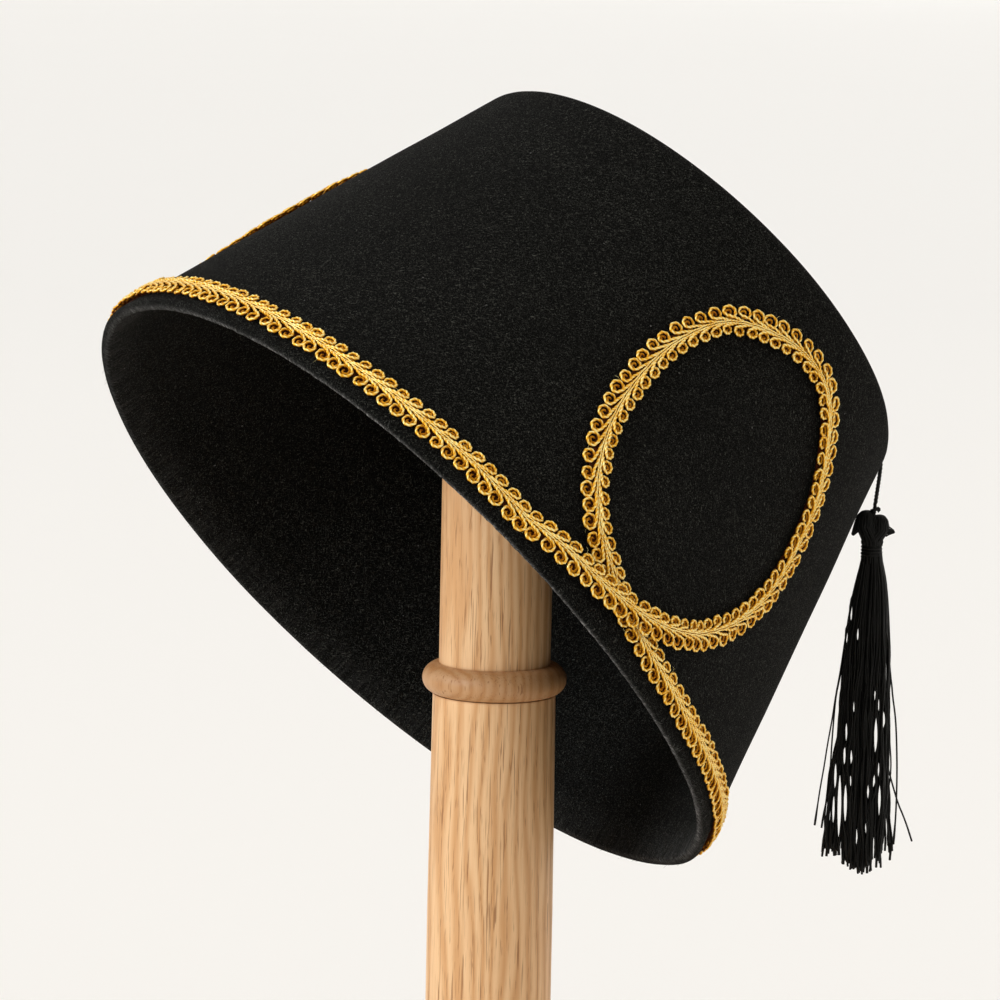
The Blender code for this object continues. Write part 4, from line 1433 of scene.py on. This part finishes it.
def colour_setting(*words):
    return setting(FloatVectorProperty, *words, subtype="COLOR", size=3, min=0.0, max=1.0)


def share_setting(*words):
    return setting(FloatProperty, *words, subtype="FACTOR", min=0.0, max=1.0)


def strength_setting(*words):
    return setting(FloatProperty, *words, min=0.0)


def count_setting(*words):
    return setting(IntProperty, *words, min=1)


class FEZ_PG_felt(PropertyGroup):
    """Felt of the cap and its fuzz."""

    colour: colour_setting("Felt", "Darkest tone of the black felt", (0.0014, 0.0014, 0.0011))
    pale: colour_setting("Lit fibres", "Tone of the fibres that catch the light", (0.080, 0.080, 0.068))
    # The cut edge's grey: partly its own paler fibres, partly painted light, strongest at one side
    lit_cut_colour: colour_setting("Cut edge", "Greyer tone of the felt where it is cut", (0.46, 0.45, 0.43))
    lint_colour: colour_setting("Lint", "Tone of the pale specks on the felt", (0.36, 0.35, 0.34))
    fibre_colour: colour_setting("Loose fibres", "Tone of the fibres that stand off", (0.14, 0.14, 0.125))
    fuzz_count: count_setting("Fibres", "Number of loose fibres", 46000)
    fuzz_length: size_setting("Fibre length", "Length of the longest loose fibres", 1.5 * MM)
    fuzz_width: size_setting("Fibre width", "Half width of a loose fibre at its root", 0.040 * MM)
    lint_share: share_setting("Lint share", "Share of the loose fibres that are pale", 0.006)


class FEZ_PG_braid(PropertyGroup):
    """Gold gimp braid."""

    pitch: size_setting("Pitch", "Distance from one picot to the next", 3.63 * MM)
    ring: size_setting("Ring", "Outer width of a picot's ring", 3.0 * MM)
    yarn: size_setting("Yarn", "Thickness of the gold yarn", 0.77 * MM)
    wisps: count_setting("Loose hairs", "Number of loose gold hairs", 110)
    yarn_colour: colour_setting("Yarn", "Gold of the yarn where it catches the light", (1.0, 0.53, 0.028))
    # Painted highlight on the yarn
    shine_colour: colour_setting("Shine", "Palest gold on the yarn", (1.0, 0.91, 0.41))
    # Painted shade on the yarn: between the plies, on the sides facing in and in the coils
    yarn_shade_colour: colour_setting("Groove", "Orange between the plies", (0.24, 0.032, 0.0003))
    # Painted shade: the core is given the brown of the shade under the yarn
    core_shade_colour: colour_setting("Core", "Brown of the core threads", (0.040, 0.011, 0.001))


class FEZ_PG_tassel(PropertyGroup):
    """Black cord and tassel."""

    cord: size_setting("Cord", "Thickness of the twisted cord", 1.1 * MM)
    thread: size_setting("Thread", "Thickness of the tassel's threads", 0.44 * MM)
    colour: colour_setting("Thread", "Black of the thread", (0.0018, 0.0018, 0.0015))
    lit_colour: colour_setting("Lit thread", "Thread where it is lighter", (0.0085, 0.0085, 0.0072))


class FEZ_PG_stand(PropertyGroup):
    """Turned oak stand."""

    pale_colour: colour_setting("Pale wood", "Palest wood between the growth bands", (0.79, 0.515, 0.272))
    warm_colour: colour_setting("Warm wood", "Pinker fibre in the wood", (0.70, 0.375, 0.165))
    band_colour: colour_setting("Growth bands", "Darker wood in the growth bands", (0.55, 0.268, 0.092))
    pore_colour: colour_setting("Pores", "Brown of the pore lines", (0.26, 0.105, 0.030))
    ring_colour: colour_setting("Ring", "Browner tone of the ring bead", (0.30, 0.120, 0.032))


class FEZ_PG_stage(PropertyGroup):
    """Floor and light."""

    floor_colour: colour_setting("Floor", "Colour of the pale floor", (0.93, 0.908, 0.870))
    # Painted shade on the far floor
    far_shade_colour: colour_setting("Far floor", "Colour of the floor far behind", (0.88, 0.865, 0.835))
    key: strength_setting("Key light", "Strength of the soft light from the left", 2.1)
    left: strength_setting("Left fill", "Strength of the light from the left side", 0.72)
    right: strength_setting("Right fill", "Strength of the light from the right side", 0.20)
    overhead: strength_setting("Overhead", "Strength of the light from above", 0.93)


# Operators and the panel


class FEZ_OT_camera(Operator):
    """Put the camera where the photograph was taken from"""

    bl_idname = "fez.camera"
    bl_label = "Camera"

    def execute(self, context):
        data = bpy.data.cameras.new("Photo camera")
        data.lens = CAMERA_LENS
        data.sensor_width = 36.0
        data.clip_start = 0.05
        data.clip_end = 60.0
        camera = in_scene("Photo camera", data)
        turn = Matrix((CAMERA_RIGHT, -CAMERA_DOWN, -CAMERA_AHEAD)).transposed().to_4x4()
        camera.matrix_world = Matrix.Translation(CAMERA_PLACE) @ turn
        context.scene.camera = camera
        return {"FINISHED"}


class FEZ_OT_tassel(Operator):
    """Make the cord, and the tassel with its knot, head, binding and skirt"""

    bl_idname = "fez.tassel"
    bl_label = "Cord and tassel"

    def execute(self, context):
        tassel = context.scene.fez_tassel
        finish = thread_finish(tassel)
        cord, path = make_cord(tassel, finish)
        head = make_head(tassel, finish)
        make_skirt(tassel, finish)
        return {"FINISHED"}


class FEZ_OT_felt(Operator):
    """Make the felt cap with its cut edge, and the fuzz that stands off it"""

    bl_idname = "fez.felt"
    bl_label = "Felt cap"

    def execute(self, context):
        make_felt(context.scene.fez_felt)
        make_fuzz(context.scene.fez_felt)
        return {"FINISHED"}


class FEZ_OT_braid(Operator):
    """Make the gold braid: core, spine and both rows of picots"""

    bl_idname = "fez.braid"
    bl_label = "Gold braid"

    def execute(self, context):
        braid = context.scene.fez_braid
        line = BraidLine()
        finish = yarn_finish(braid)
        make_core(line, braid)
        make_wisps(line, braid, finish)
        make_spine(line, braid, finish)
        for row in PICOT_SIDES:
            make_picots(line, braid, finish, *row)
        return {"FINISHED"}


class FEZ_OT_stand(Operator):
    """Turn the stand's head, post and foot"""

    bl_idname = "fez.stand"
    bl_label = "Wooden stand"

    def execute(self, context):
        stand = context.scene.fez_stand
        finish = oak_finish(stand)
        dress(turned("oak_head", head_profile(), finish), "oak", "stand_head")
        dress(turned("oak_post", post_profile(), finish), "oak", "stand_post")
        dress(turned("oak_foot", base_profile(), oak_finish(stand, lying=True)), "oak", "stand_base")
        return {"FINISHED"}


class FEZ_OT_stage(Operator):
    """Lay the pale floor and set up the soft light"""

    bl_idname = "fez.stage"
    bl_label = "Floor and light"

    def execute(self, context):
        stage = context.scene.fez_stage
        bend = arc((FLOOR_REACH, FLOOR_BEND), FLOOR_BEND, -90, 0, 12)
        sweep = [(0.0, 0.0), (FLOOR_NEAR, 0.0), (FLOOR_REACH, 0.0)] + bend
        floor = turned("floor", sweep, floor_finish(stage), 96)
        context.scene.world = studio_world(stage)
        data = bpy.data.lights.new("Key light", "SUN")
        data.energy = stage.key
        data.angle = KEY_SPREAD
        data.color = KEY_TINT
        key = in_scene("Key light", data)
        key.rotation_mode = "QUATERNION"
        key.rotation_quaternion = KEY_WAY.to_track_quat("-Z", "Y")
        context.scene.view_settings.view_transform = "Standard"
        return {"FINISHED"}


class FEZ_PT_panel(Panel):
    """Lists the hat's pieces and their settings."""

    bl_idname = "FEZ_PT_panel"
    bl_label = "Fez on a stand"
    bl_space_type = "VIEW_3D"
    bl_region_type = "UI"
    bl_category = "Fez"

    def draw(self, context):
        for operator in OPERATORS:
            box = self.layout.box()
            box.operator(operator.bl_idname)
            group = getattr(context.scene, operator.bl_idname.replace(".", "_"), None)
            for name in group.__annotations__ if group else ():
                box.prop(group, name)


SETTINGS = {
    "fez_felt": FEZ_PG_felt,
    "fez_braid": FEZ_PG_braid,
    "fez_tassel": FEZ_PG_tassel,
    "fez_stand": FEZ_PG_stand,
    "fez_stage": FEZ_PG_stage,
}
OPERATORS = (FEZ_OT_camera, FEZ_OT_tassel, FEZ_OT_felt, FEZ_OT_braid, FEZ_OT_stand, FEZ_OT_stage)


def register():
    for name, group in SETTINGS.items():
        bpy.utils.register_class(group)
        setattr(bpy.types.Scene, name, PointerProperty(type=group))
    for operator in OPERATORS:
        bpy.utils.register_class(operator)
    bpy.utils.register_class(FEZ_PT_panel)


def unregister():
    bpy.utils.unregister_class(FEZ_PT_panel)
    for operator in reversed(OPERATORS):
        bpy.utils.unregister_class(operator)
    for name, group in reversed(SETTINGS.items()):
        delattr(bpy.types.Scene, name)
        bpy.utils.unregister_class(group)


def main():
    register()
    bpy.ops.fez.camera()
    bpy.ops.fez.tassel()
    bpy.ops.fez.felt()
    bpy.ops.fez.braid()
    bpy.ops.fez.stand()
    bpy.ops.fez.stage()


if __name__ == "__main__":
    main()
